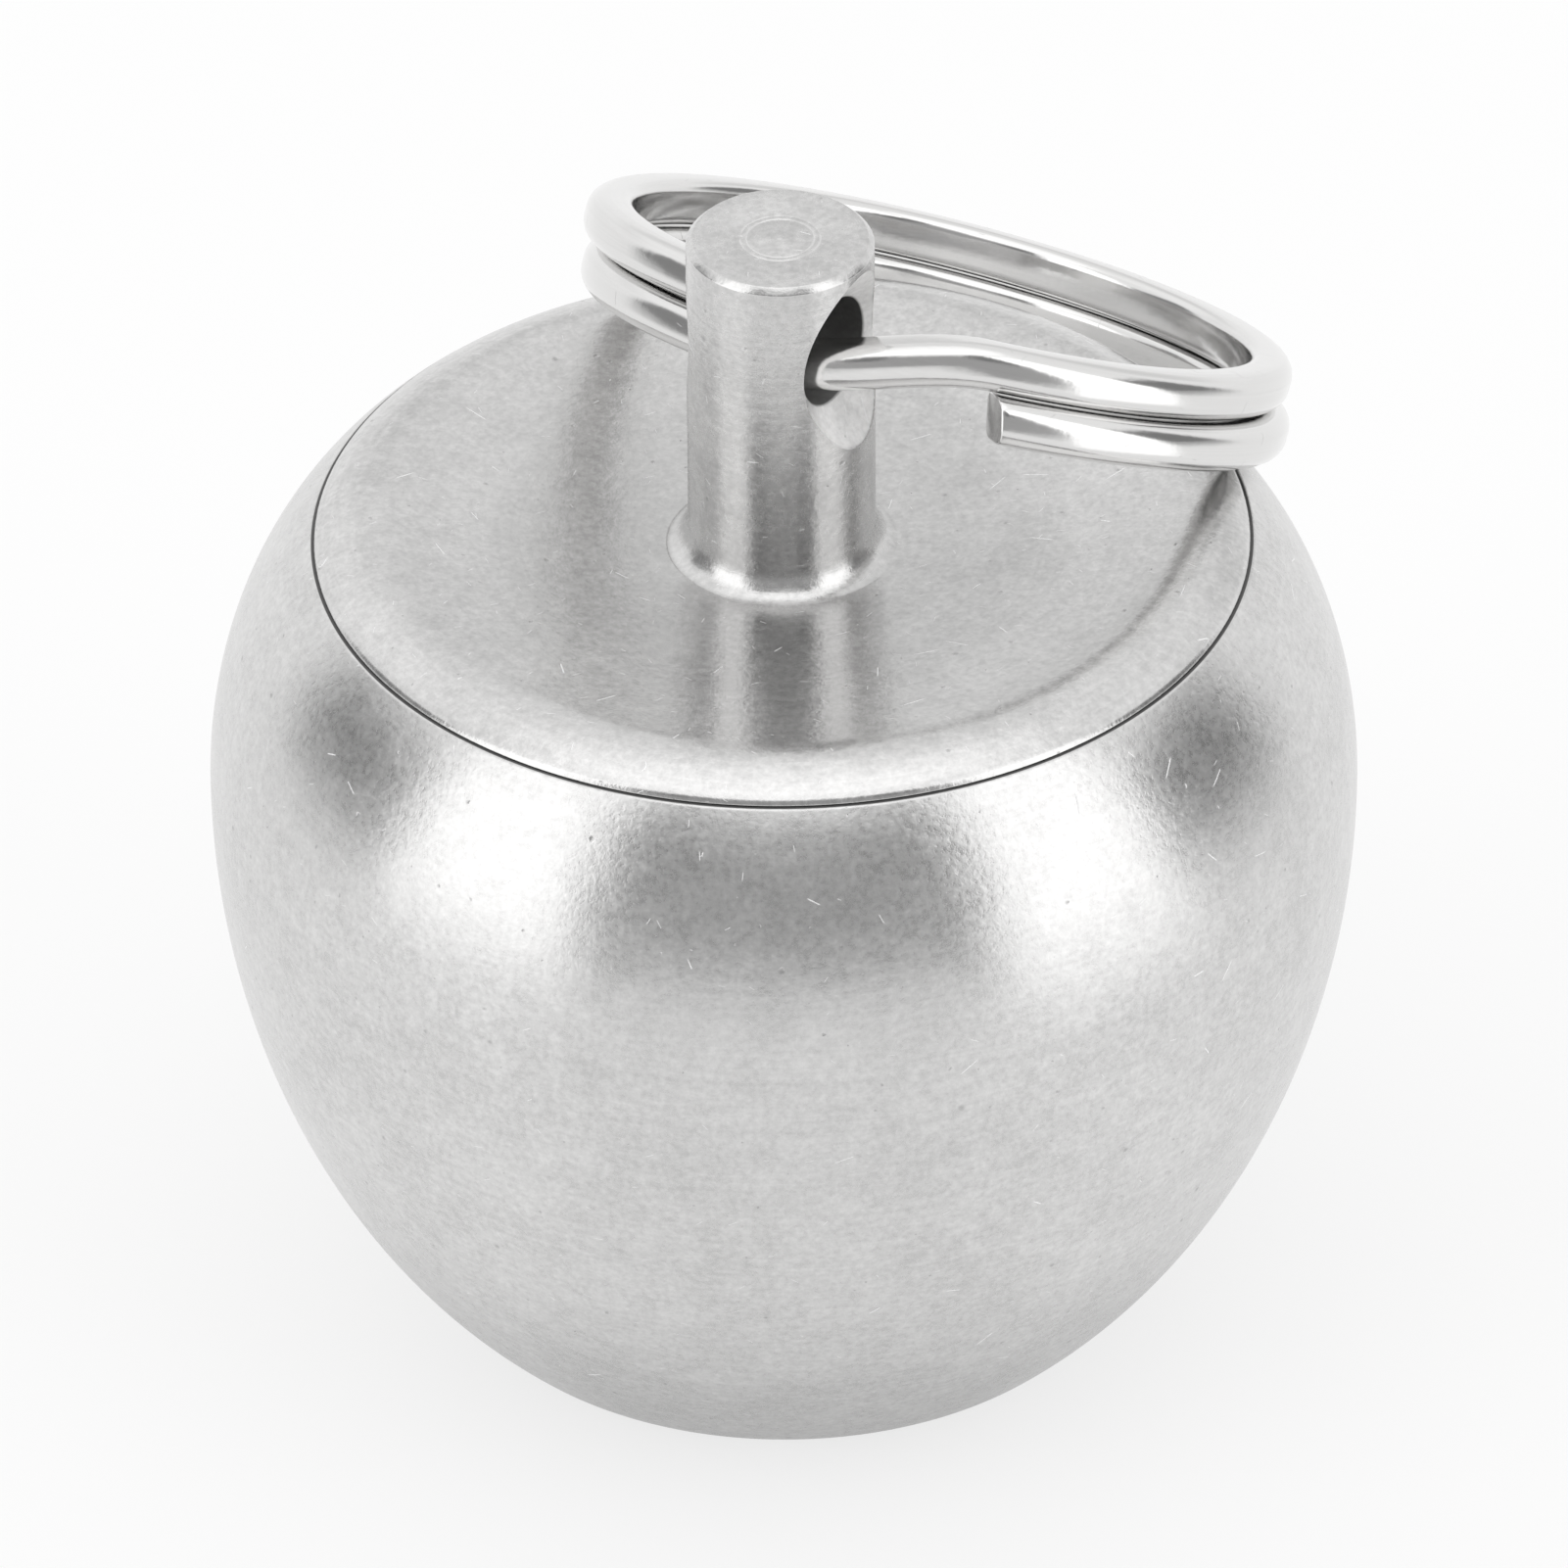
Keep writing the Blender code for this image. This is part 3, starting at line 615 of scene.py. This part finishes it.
def cut(piece, cutter):
    """Takes the cutter's shape out of the piece and deletes the cutter."""
    boolean = piece.modifiers.new("cut", "BOOLEAN")
    boolean.operation = "DIFFERENCE"
    boolean.solver = "EXACT"
    boolean.object = cutter
    graph = bpy.context.evaluated_depsgraph_get()
    graph.update()
    data = bpy.data.meshes.new_from_object(piece.evaluated_get(graph))
    piece.modifiers.clear()
    piece.data = data
    bpy.data.objects.remove(cutter)
    shade(data)


def seal_mesh(s):
    """The rubber ring."""
    lathe = Lathe(s.sides)
    centre = (s.seal_centre_radius, s.seal_height)
    lathe.wall(arc(centre, s.seal_thickness / 2, 0, -2 * pi, SEAL_SECTION_SIDES))
    return lathe.mesh


def wire_section(ring, inset):
    """The wire's rounded section less an inset, as offsets across and up from its middle."""
    points = []
    for number, (side, end) in enumerate(((1, 1), (-1, 1), (-1, -1), (1, -1))):
        corner = ring.wire_corner if side > 0 else ring.inner_corner
        middle = (side * (ring.wire_width / 2 - corner), end * (ring.wire_thickness / 2 - corner))
        start = number * pi / 2
        points += arc(middle, corner - inset, start, start + pi / 2, WIRE_CORNER_STEPS)
    return points


def ring_row(s, ring, turn, inset):
    """One section of the split ring, in the frame of its pivot in the middle of the cross hole."""
    climb = 3 * pi + ring.upper_end
    climb_sweep = ring.lower_end - ring.upper_end
    way = min(max((turn - climb) / climb_sweep, 0), 1)
    rise_share = way * way * (3 - 2 * way) - 1 / 2
    steep_share = 4 * way * (1 - way)
    lean = atan(3 / 2 * steep_share * s.turn_spacing / (climb_sweep * s.wire_radius))
    twist = ring.climb_twist * steep_share
    slant = max(1 - (turn - pi - ring.lower_end) / ring.cut_sweep, 0) / s.wire_radius
    row = []
    for across, up in wire_section(ring, inset):
        radius = s.wire_radius + across * cos(twist) + up * sin(twist)
        lift = up * cos(twist) - across * sin(twist)
        back = -lift * sin(lean)
        place = turn + slant * (ring.cut_skew * across - ring.cut_slant * up)
        x = s.wire_radius - s.bow + radius * cos(place) - back * sin(place)
        y = ring.turn_shift * rise_share + radius * sin(place) + back * cos(place)
        row.append((x, y, s.turn_spacing * rise_share + lift * cos(lean)))
    return row


def ring_mesh(s, ring):
    """The double-turn ring, one length of wire with softened cut ends."""
    start = pi + ring.lower_end
    end = 5 * pi + ring.upper_end
    steps = round((end - start) / (2 * pi) * ring.steps)
    tips = arc((ring.end_round, ring.end_round), ring.end_round, -pi, -pi / 2, END_STEPS)
    tips = [(back / s.wire_radius, inset) for inset, back in reversed(tips)]
    rows = [(start + back, inset) for back, inset in tips]
    rows += [(start + (end - start) * step / steps, 0) for step in range(1, steps)]
    rows += [(end - back, inset) for back, inset in reversed(tips)]
    made = bmesh.new()
    corners = [[made.verts.new(point) for point in ring_row(s, ring, turn, inset)] for turn, inset in rows]
    for row, next_row in zip(corners, corners[1:]):
        for number in range(len(row)):
            last = number - 1
            made.faces.new([row[last], next_row[last], next_row[number], row[number]])
    made.faces.new(corners[0])
    made.faces.new(corners[-1])
    return made


class Value:
    """An output of a node. Arithmetic on values adds Math nodes to their tree."""

    def __init__(self, tree, socket):
        self.tree = tree
        self.socket = socket

    def out(self, name):
        """Another output of the same node."""
        return Value(self.tree, self.socket.node.outputs[name])

    def __add__(self, other):
        return self.tree.maths("ADD", self, other)

    def __radd__(self, other):
        return self.tree.maths("ADD", other, self)

    def __sub__(self, other):
        return self.tree.maths("SUBTRACT", self, other)

    def __rsub__(self, other):
        return self.tree.maths("SUBTRACT", other, self)

    def __mul__(self, other):
        return self.tree.maths("MULTIPLY", self, other)

    def __rmul__(self, other):
        return self.tree.maths("MULTIPLY", other, self)

    def __truediv__(self, other):
        return self.tree.maths("DIVIDE", self, other)

    def __rtruediv__(self, other):
        return self.tree.maths("DIVIDE", other, self)

    def __abs__(self):
        return self.tree.maths("ABSOLUTE", self)


class Tree:
    """The emptied node tree of a material or a world, and the one way to add nodes to it."""

    def __init__(self, holder):
        holder.use_nodes = True
        self.made = holder.node_tree
        self.made.nodes.clear()

    def node(self, kind, settings=None, sockets=None):
        """A node with its settings, then the values or links of its sockets. It gives the first output."""
        made = self.made.nodes.new(kind)
        for name, value in (settings or {}).items():
            setattr(made, name, value)
        for name, value in (sockets or {}).items():
            if isinstance(value, Value):
                self.made.links.new(value.socket, made.inputs[name])
            else:
                made.inputs[name].default_value = value
        return Value(self, next((output for output in made.outputs if output.enabled), None))

    def maths(self, operation, *values):
        return self.node("ShaderNodeMath", {"operation": operation}, dict(enumerate(values)))

    def vectors(self, operation, *values):
        return self.node("ShaderNodeVectorMath", {"operation": operation}, dict(enumerate(values)))

    def smooth(self, value, low, high):
        """0 below low, 1 above high and a smooth step between."""
        sockets = {"Value": value, "From Min": low, "From Max": high, "To Min": 0.0, "To Max": 1.0}
        return self.node("ShaderNodeMapRange", {"interpolation_type": "SMOOTHSTEP"}, sockets)

    def noise(self, vector, size, detail=2.0, roughness=0.5):
        sockets = {"Vector": vector, "Scale": 1 / size, "Detail": detail, "Roughness": roughness}
        return self.node("ShaderNodeTexNoise", {"noise_dimensions": "3D"}, sockets)

    def cells(self, vector, size):
        """Cells that each have a random place and colour."""
        sockets = {"Vector": vector, "Scale": 1 / size}
        return self.node("ShaderNodeTexVoronoi", {"voronoi_dimensions": "3D"}, sockets)

    def mix(self, factor, first, second):
        """A colour between two colours."""
        settings = {"data_type": "RGBA", "blend_type": "MIX", "clamp_factor": True}
        return self.node("ShaderNodeMix", settings, {0: factor, 6: first, 7: second})

    def end(self, kind, shader):
        self.node(kind, None, {"Surface": shader})


def tinted(tone, factor):
    """A colour times a number, with its alpha."""
    return (*(part * factor for part in tone), 1.0)


def weighted(start, marks, weights):
    """A start plus the marks that the weights name, each times its weight."""
    return sum((marks[name] * weight for name, weight in weights.items()), start)


def round_place(tree, place, centre_x=0.0):
    """A vector that is alike all round an upright axis, then its parts: the radius and the height."""
    split = tree.node("ShaderNodeSeparateXYZ", None, {"Vector": place})
    across = split.out("X") - centre_x
    radius = tree.maths("SQRT", across * across + split.out("Y") * split.out("Y"))
    joined = tree.node("ShaderNodeCombineXYZ", None, {"X": radius, "Y": split.out("Z")})
    return joined, radius, split.out("Z")


def block(tree, value, low, high, soft):
    """1 between two values, with soft edges."""
    return tree.smooth(value, low - soft, low + soft) * (1 - tree.smooth(value, high - soft, high + soft))


def scratch_mask(tree, place, normal, cell, half_length, half_width, kept_share):
    """Thin straight scratches of random direction on the surface, one at most in each cell of a Voronoi."""
    cells = tree.cells(place, cell)
    tint = cells.out("Color")
    offset = tree.vectors("SUBTRACT", place, cells.out("Position"))
    random = tree.vectors("SUBTRACT", tint, (NOISE_MIDDLE,) * 3)
    along = tree.vectors("NORMALIZE", tree.vectors("CROSS_PRODUCT", normal, random))
    aside = tree.vectors("CROSS_PRODUCT", normal, along)
    run = abs(tree.vectors("DOT_PRODUCT", offset, along).out("Value"))
    away = abs(tree.vectors("DOT_PRODUCT", offset, aside).out("Value"))
    parts = tree.node("ShaderNodeSeparateColor", None, {"Color": tint})
    reach = half_length * (SCRATCH_LEAST_LENGTH + (1 - SCRATCH_LEAST_LENGTH) * parts.out("Green"))
    thin = 1 - tree.smooth(away, half_width * LINE_CORE, half_width)
    short = 1 - tree.smooth(run / reach, SCRATCH_FADE, 1.0)
    kept = tree.maths("LESS_THAN", parts.out("Blue"), kept_share)
    return thin * short * kept


def pit_mask(tree, place, normal, cell, radius, kept_share):
    """Small soft pits of random size, one at most in each cell of a Voronoi."""
    cells = tree.cells(place, cell)
    offset = tree.vectors("SUBTRACT", place, cells.out("Position"))
    away = tree.vectors("LENGTH", tree.vectors("CROSS_PRODUCT", normal, offset)).out("Value")
    parts = tree.node("ShaderNodeSeparateColor", None, {"Color": cells.out("Color")})
    size = radius * (PIT_LEAST_SIZE + (1 - PIT_LEAST_SIZE) * parts.out("Red") * parts.out("Red"))
    kept = tree.maths("LESS_THAN", parts.out("Green"), kept_share)
    return (1 - tree.smooth(away / size, PIT_FADE, 1.0)) * kept


def metal(tree, base, roughness, relief, streak=0.0):
    """A metal with its relief given in shares of the bump's depth. Streaks run across its turning marks."""
    normal = tree.node("ShaderNodeBump", None, {"Strength": 1.0, "Distance": BUMP_DEPTH, "Height": relief})
    sockets = {"Base Color": base, "Metallic": 1.0, "Roughness": roughness, "Normal": normal}
    turned = {"Anisotropic": streak, "Anisotropic Rotation": ACROSS_MARKS} if streak else {}
    shader = tree.node("ShaderNodeBsdfPrincipled", None, {**sockets, **turned})
    tree.end("ShaderNodeOutputMaterial", shader)


def facing_rings(tree, place, radius, height, s):
    """The light rings and the dot that the facing tool left on the stem's top, worn away in places."""
    rings = 1 - tree.smooth(radius, FACING_DOT / 2, FACING_DOT)
    for ring in FACING_RINGS:
        away = abs(radius - ring)
        rings = rings + (1 - tree.smooth(away, FACING_WIDTH * LINE_CORE, FACING_WIDTH))
    wear = tree.noise(place, s.stem_radius * FACING_WEAR_SIZE_SHARE)
    left = tree.smooth(wear, *FACING_WEAR_LIMITS)
    top = tree.smooth(height, s.stem_top - 2 * FACING_DEPTH, s.stem_top - FACING_DEPTH)
    return rings * left * top


def rim_seam_shade(tree, radius, height, s):
    """A painted shade: the dark ring on the cup's rim where the seam's gap lies in shade."""
    side_softness, top_softness = SEAM_SHADE_SOFTNESS
    outside = s.seam_radius + s.seam_shade_reach
    across = block(tree, radius, outside - s.seam_shade_width, outside, s.seam_shade_reach * side_softness)
    low = s.rim_height - s.seam_break
    high = s.rim_height + s.seam_break
    return across * block(tree, height, low, high, s.seam_break * top_softness)


def bored_place(tree, radius, height, s):
    """Inside the stem's cross hole and its countersinks."""
    inside = 1 - tree.smooth(radius, s.stem_radius - 2 * s.edge_round, s.stem_radius - s.edge_round / 2)
    reach = s.mouth_radius + 2 * s.edge_round
    return inside * block(tree, height, s.hole_height - reach, s.hole_height + reach, s.edge_round)


def bore_place(tree, place, s):
    """Inside the stem's cross hole, without its countersinks."""
    arm = tree.vectors("SUBTRACT", place, (0, 0, s.hole_height))
    axis = (cos(s.hole_azimuth), sin(s.hole_azimuth), 0)
    away = tree.vectors("LENGTH", tree.vectors("CROSS_PRODUCT", arm, axis)).out("Value")
    return 1 - tree.smooth(away, s.hole_radius, s.hole_radius + 2 * s.edge_round)


def satin_marks(tree, place, normal, finish):
    """The marks of the satin steel by name, then the radius and the height."""
    turned, radius, height = round_place(tree, place)
    noise = tree.noise(place, finish.grain_size, *GRAIN_NOISE)
    marks = {
        "grain": noise - NOISE_MIDDLE,
        "cloud": tree.noise(place, finish.cloud_size, *CLOUD_NOISE) - NOISE_MIDDLE,
        "mottle": tree.noise(place, finish.mottle_size, *FINE_NOISE) - NOISE_MIDDLE,
        "lines": tree.noise(turned, finish.mark_size, *FINE_NOISE) - NOISE_MIDDLE,
    }
    kept = SCRATCHED_SHARE + tree.smooth(height, *WORN_HEIGHTS) * WORN_SCRATCHED_SHARE
    sizes = (finish.scratch_spacing, finish.scratch_length, finish.scratch_width)
    marks["scratches"] = scratch_mask(tree, place, normal, *sizes, kept)
    sizes = (finish.nick_spacing, finish.nick_length, finish.nick_width)
    marks["nicks"] = scratch_mask(tree, place, normal, *sizes, kept)
    warp = tree.vectors("SUBTRACT", noise.out("Color"), (NOISE_MIDDLE,) * 3)
    spot = tree.vectors("ADD", place, tree.vectors("MULTIPLY", warp, (finish.pit_radius,) * 3))
    pitted = PITTED_SHARE + marks["cloud"] * PIT_CLOUDING
    marks["pits"] = pit_mask(tree, spot, normal, finish.pit_spacing, finish.pit_radius, pitted)
    sizes = (finish.speck_spacing, finish.speck_radius)
    marks["specks"] = pit_mask(tree, place, normal, *sizes, pitted - FEWER_SPECKS)
    return marks, radius, height


def satin_steel(name, tone, finish, roughness, line_depth, stem=None, rim=None):
    """Finely tumbled turned steel, with a stem's own finish and painted shade and highlight on it, or
    painted shade on its rim.
    """
    made = bpy.data.materials.new(name)
    tree = Tree(made)
    coordinates = tree.node("ShaderNodeTexCoord")
    place = coordinates.out("Object")
    marks, radius, height = satin_marks(tree, place, coordinates.out("Normal"), finish)
    light = weighted(NOISE_MIDDLE, marks, TONE_MARKS)
    depth = line_depth / BUMP_DEPTH
    rough = roughness
    if stem:
        on_stem = 1 - tree.smooth(radius, *(stem.stem_radius * end for end in STEM_FINISH_ENDS))
        depth = depth + on_stem * ((finish.stem_marks - line_depth) / BUMP_DEPTH)
        rough = roughness + on_stem * (finish.stem_roughness - roughness)
        # The drilled hole and its countersinks are rougher, and lightened as a painted highlight
        bored = bored_place(tree, radius, height, stem)
        rough = rough + bored * (finish.bored_roughness - finish.stem_roughness)
        # Painted shade: the dish is darkened round the stem's foot
        foot_shade = 1 - tree.smooth(radius, *(stem.foot_radius + reach for reach in FOOT_SHADE_REACHES))
        tint = 1 - (1 - on_stem) * foot_shade * FOOT_SHADE_SHARE + bored * BORED_HIGHLIGHT
        # Painted shade deep in the cross hole
        tint = tint - bore_place(tree, place, stem) * BORE_SHADE
        light = light + facing_rings(tree, place, radius, height, stem) * FACING_LIGHT
    base = tree.mix(light, *(tinted(tone, factor) for factor in SATIN_TONES))
    base = tree.mix(weighted(0.0, marks, DARK_MARKS), base, tinted(tone, PIT_TONE))
    # The scratches and nicks are real wear; their near-white colour is a painted glint
    base = tree.mix(weighted(0.0, marks, SCRATCH_GLINT_MARKS), base, SCRATCH_GLINT_COLOUR)
    if stem:
        base = tree.node("ShaderNodeVectorMath", {"operation": "SCALE"}, {0: base, "Scale": tint})
    # Painted shade: the rim is darkened where the seam's gap lies in shade, and made rougher there
    if rim:
        seam_shade = rim_seam_shade(tree, radius, height, rim)
        base = tree.mix(seam_shade, base, tinted(tone, SEAM_SHADE_TONE))
        rough = rough + seam_shade * SEAM_SHADE_ROUGHNESS
    rough = weighted(rough, marks, ROUGH_MARKS)
    relief = weighted(marks["lines"] * depth, marks, RELIEF_MARKS)
    metal(tree, base, rough, relief, finish.streak)
    return made


def polished_steel(finish, pivot, turn, ring_centre):
    """Polished drawn wire: fine lines along it, soft waves and a few scratches."""
    made = bpy.data.materials.new("ring_polished_steel")
    tree = Tree(made)
    coordinates = tree.node("ShaderNodeTexCoord")
    place = coordinates.out("Object")
    sockets = {"Vector": place, "Location": pivot, "Rotation": turn}
    level_place = tree.node("ShaderNodeMapping", {"vector_type": "TEXTURE"}, sockets)
    drawn, _, _ = round_place(tree, level_place, ring_centre)
    lines = tree.noise(drawn, DRAWN_SIZE, *FINE_NOISE)
    marks = {
        "lines": lines - NOISE_MIDDLE,
        "waves": tree.noise(place, WAVE_SIZE) - NOISE_MIDDLE,
        "dents": tree.noise(place, DENT_SIZE) - NOISE_MIDDLE,
        "scratches": scratch_mask(tree, place, coordinates.out("Normal"), *WIRE_SCRATCHES),
    }
    tone = finish.ring_colour
    base = tree.mix(lines, *(tinted(tone, factor) for factor in WIRE_TONES))
    base = tree.mix(weighted(0.0, marks, WIRE_DARK_MARKS), base, tinted(tone, WIRE_SCRATCH_TONE))
    rough = weighted(finish.ring_roughness, marks, WIRE_ROUGH_MARKS)
    metal(tree, base, rough, weighted(0.0, marks, WIRE_RELIEF_MARKS))
    return made


def black_rubber(name, tone):
    """Matt moulded rubber with a fine bloom."""
    made = bpy.data.materials.new(name)
    tree = Tree(made)
    place = tree.node("ShaderNodeTexCoord").out("Object")
    bloom = tree.noise(place, BLOOM_SIZE, BLOOM_DETAIL)
    base = tree.mix(bloom, *(tinted(tone, factor) for factor in BLOOM_TONES))
    rough = RUBBER_ROUGHNESS + bloom * BLOOM_ROUGHNESS
    normal = tree.node("ShaderNodeBump", None, {"Strength": 1.0, "Distance": BLOOM_DEPTH, "Height": bloom})
    sockets = {"Base Color": base, "Metallic": 0.0, "Roughness": rough, "Normal": normal}
    tree.end("ShaderNodeOutputMaterial", tree.node("ShaderNodeBsdfPrincipled", None, sockets))
    return made


def tent_tone(tree, stage, direction):
    """The tent's brightness in a direction: white walls, soft boxes, the dark gaps and a light overhead."""
    split = tree.node("ShaderNodeSeparateXYZ", None, {"Vector": direction})
    azimuth = tree.maths("ARCTAN2", split.out("X"), 0 - split.out("Y")) * degrees(1)
    rise = tree.maths("ARCSINE", split.out("Z")) * degrees(1)
    tone = stage.tent_level
    for left, right, low, high, soft, patch_level in TENT_PATCHES:
        patch = block(tree, azimuth, left, right, soft) * block(tree, rise, low, high, soft)
        tone = tone + patch * (patch_level - tone)
    overhead = stage.ceiling_level - split.out("Y") * CEILING_FALL
    return tone + tree.smooth(rise, *CEILING_RISES) * (overhead - tone)


def floor_material(stage):
    """A pale matt floor that is seen white, with the object's shadow faintly on it and painted in its glow.
    """
    made = bpy.data.materials.new("studio_floor")
    tree = Tree(made)
    place = tree.node("ShaderNodeTexCoord").out("Object")
    direction = tree.vectors("SUBTRACT", place, (0, 0, stage.aim_height))
    _, radius, _ = round_place(tree, place)
    away = tree.smooth(radius, *FLOOR_SHADE_RADII)
    # Painted light: the floor glows with the tent's patches, darkened round the object as a painted shadow
    tone = tent_tone(tree, stage, tree.vectors("NORMALIZE", direction))
    tone = tone * (FLOOR_SHADE_LEVEL + (1 - FLOOR_SHADE_LEVEL) * away)
    seen = tree.node("ShaderNodeLightPath").out("Is Camera Ray")
    light = tone + seen * (1 - tone)
    matt = tree.node("ShaderNodeBsdfDiffuse", None, {"Color": FLOOR_COLOUR})
    white = tree.node("ShaderNodeEmission", None, {"Color": light, "Strength": 1.0})
    glow = tree.node("ShaderNodeMixShader", None, {0: FLOOR_WHITE_SHARE, 1: matt, 2: white})
    clear = tree.node("ShaderNodeBsdfTransparent")
    under = tree.node("ShaderNodeNewGeometry").out("Backfacing")
    shown = tree.node("ShaderNodeMixShader", None, {0: under, 1: glow, 2: clear})
    tree.end("ShaderNodeOutputMaterial", shown)
    return made


def set_world(stage):
    """The tent, which the camera sees plain white."""
    world = bpy.data.worlds.new("studio_tent")
    bpy.context.scene.world = world
    tree = Tree(world)
    tone = tent_tone(tree, stage, tree.node("ShaderNodeTexCoord").out("Generated"))
    lit = tree.node("ShaderNodeBackground", None, {"Color": WHITE, "Strength": tone})
    white = tree.node("ShaderNodeBackground", None, {"Color": WHITE, "Strength": 1.0})
    seen = tree.node("ShaderNodeLightPath").out("Is Camera Ray")
    tree.end("ShaderNodeOutputWorld", tree.node("ShaderNodeMixShader", None, {0: seen, 1: lit, 2: white}))


def set_camera(stage):
    """The camera, aimed at the turning axis from the front."""
    data = bpy.data.cameras.new("view")
    camera = bpy.data.objects.new("view", data)
    bpy.context.scene.collection.objects.link(camera)
    rise = stage.camera_elevation
    direction = Vector((0, cos(rise), -sin(rise)))
    aim = Vector((0, 0, stage.aim_height))
    turn = direction.to_track_quat("-Z", "Y").to_matrix().to_4x4()
    roll = Matrix.Rotation(stage.camera_roll, 4, "Z")
    camera.matrix_world = Matrix.Translation(aim - direction * stage.camera_distance) @ turn @ roll
    data.sensor_width = SENSOR_WIDTH
    data.lens = SENSOR_WIDTH * stage.camera_distance / stage.view_width
    data.clip_start = stage.camera_distance * CLIP_SHARE
    bpy.context.scene.camera = camera


class CAPSULE_OT_turn_cup(bpy.types.Operator):
    """Turn the apple-shaped cup"""

    bl_idname = "capsule.turn_cup"
    bl_label = "Turn the Cup"

    def execute(self, context):
        s = turned_sizes(context.scene)
        finish = context.scene.capsule_finish
        sizes = (finish.cup_roughness, finish.cup_marks)
        steel = satin_steel("cup_satin_steel", finish.cup_colour, finish, *sizes, rim=s)
        cup = shown_object("cup_shell", cup_mesh(s), steel)
        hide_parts("container_cup")
        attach(cup, "cup")
        return {"FINISHED"}


class CAPSULE_OT_turn_lid(bpy.types.Operator):
    """Turn the lid with its stem and drill its cross hole"""

    bl_idname = "capsule.turn_lid"
    bl_label = "Turn the Lid"

    def execute(self, context):
        s = turned_sizes(context.scene)
        finish = context.scene.capsule_finish
        sizes = (finish.lid_roughness, finish.lid_marks)
        steel = satin_steel("lid_satin_steel", finish.lid_colour, finish, *sizes, stem=s)
        lid = shown_object("stemmed_lid", lid_mesh(s), steel)
        cut(lid, shown_object("cross_drill", hole_cutter(s), steel))
        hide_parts("screw_lid")
        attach(lid, "lid")
        return {"FINISHED"}


class CAPSULE_OT_mould_seal(bpy.types.Operator):
    """Mould the rubber seal"""

    bl_idname = "capsule.mould_seal"
    bl_label = "Mould the Seal"

    def execute(self, context):
        s = turned_sizes(context.scene)
        rubber = black_rubber("seal_black_rubber", context.scene.capsule_finish.rubber_colour)
        seal = shown_object("lid_seal", seal_mesh(s), rubber)
        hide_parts("seal_ring")
        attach(seal, "seal")
        return {"FINISHED"}


class CAPSULE_OT_wind_ring(bpy.types.Operator):
    """Wind the split ring and hang it in the cross hole"""

    bl_idname = "capsule.wind_ring"
    bl_label = "Wind the Split Ring"

    def execute(self, context):
        s = turned_sizes(context.scene)
        ring = context.scene.capsule_ring
        finish = context.scene.capsule_finish
        place = Vector((0, 0, s.hole_height))
        turn = Euler((0, ring.tilt, s.hole_azimuth + pi / 2))
        steel = polished_steel(finish, place, turn, s.wire_radius - s.bow)
        made = ring_mesh(s, ring)
        matrix = Matrix.LocRotScale(place, turn, None)
        bmesh.ops.transform(made, matrix=matrix, verts=made.verts)
        piece = shown_object("key_ring", made, steel)
        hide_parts("split_ring")
        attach(piece, "ring")
        return {"FINISHED"}


class CAPSULE_OT_set_stage(bpy.types.Operator):
    """Lay the floor and set the light and the camera"""

    bl_idname = "capsule.set_stage"
    bl_label = "Set the Stage"

    def execute(self, context):
        stage = context.scene.capsule_stage
        made = bmesh.new()
        bmesh.ops.create_grid(made, x_segments=1, y_segments=1, size=stage.floor_size / 2)
        floor = shown_object("floor", made, floor_material(stage))
        set_world(stage)
        set_camera(stage)
        context.scene.view_settings.view_transform = "Standard"
        return {"FINISHED"}


class CAPSULE_PT_sidebar(bpy.types.Panel):
    """The steps in their order, with the sizes and finishes that they use"""

    bl_idname = "CAPSULE_PT_sidebar"
    bl_label = "Pill Capsule"
    bl_space_type = "VIEW_3D"
    bl_region_type = "UI"
    bl_category = "Capsule"

    def draw(self, context):
        for operator in OPERATORS:
            self.layout.operator(operator.bl_idname)
        for name in SETTINGS:
            group = getattr(context.scene, name)
            box = self.layout.box()
            for field in group.__annotations__:
                box.prop(group, field)


OPERATORS = (
    CAPSULE_OT_set_stage,
    CAPSULE_OT_turn_cup,
    CAPSULE_OT_turn_lid,
    CAPSULE_OT_mould_seal,
    CAPSULE_OT_wind_ring,
)
SETTINGS = {
    "capsule_turned": TurnedSizes,
    "capsule_ring": RingSizes,
    "capsule_finish": FinishSettings,
    "capsule_stage": StageSettings,
}
CLASSES = (*SETTINGS.values(), *OPERATORS, CAPSULE_PT_sidebar)


def register():
    for kind in CLASSES:
        bpy.utils.register_class(kind)
    for name, group in SETTINGS.items():
        setattr(bpy.types.Scene, name, PointerProperty(type=group))


def unregister():
    for name in SETTINGS:
        delattr(bpy.types.Scene, name)
    for kind in reversed(CLASSES):
        bpy.utils.unregister_class(kind)


def main():
    register()
    bpy.ops.capsule.set_stage()
    bpy.ops.capsule.turn_cup()
    bpy.ops.capsule.turn_lid()
    bpy.ops.capsule.mould_seal()
    bpy.ops.capsule.wind_ring()


if __name__ == "__main__":
    main()
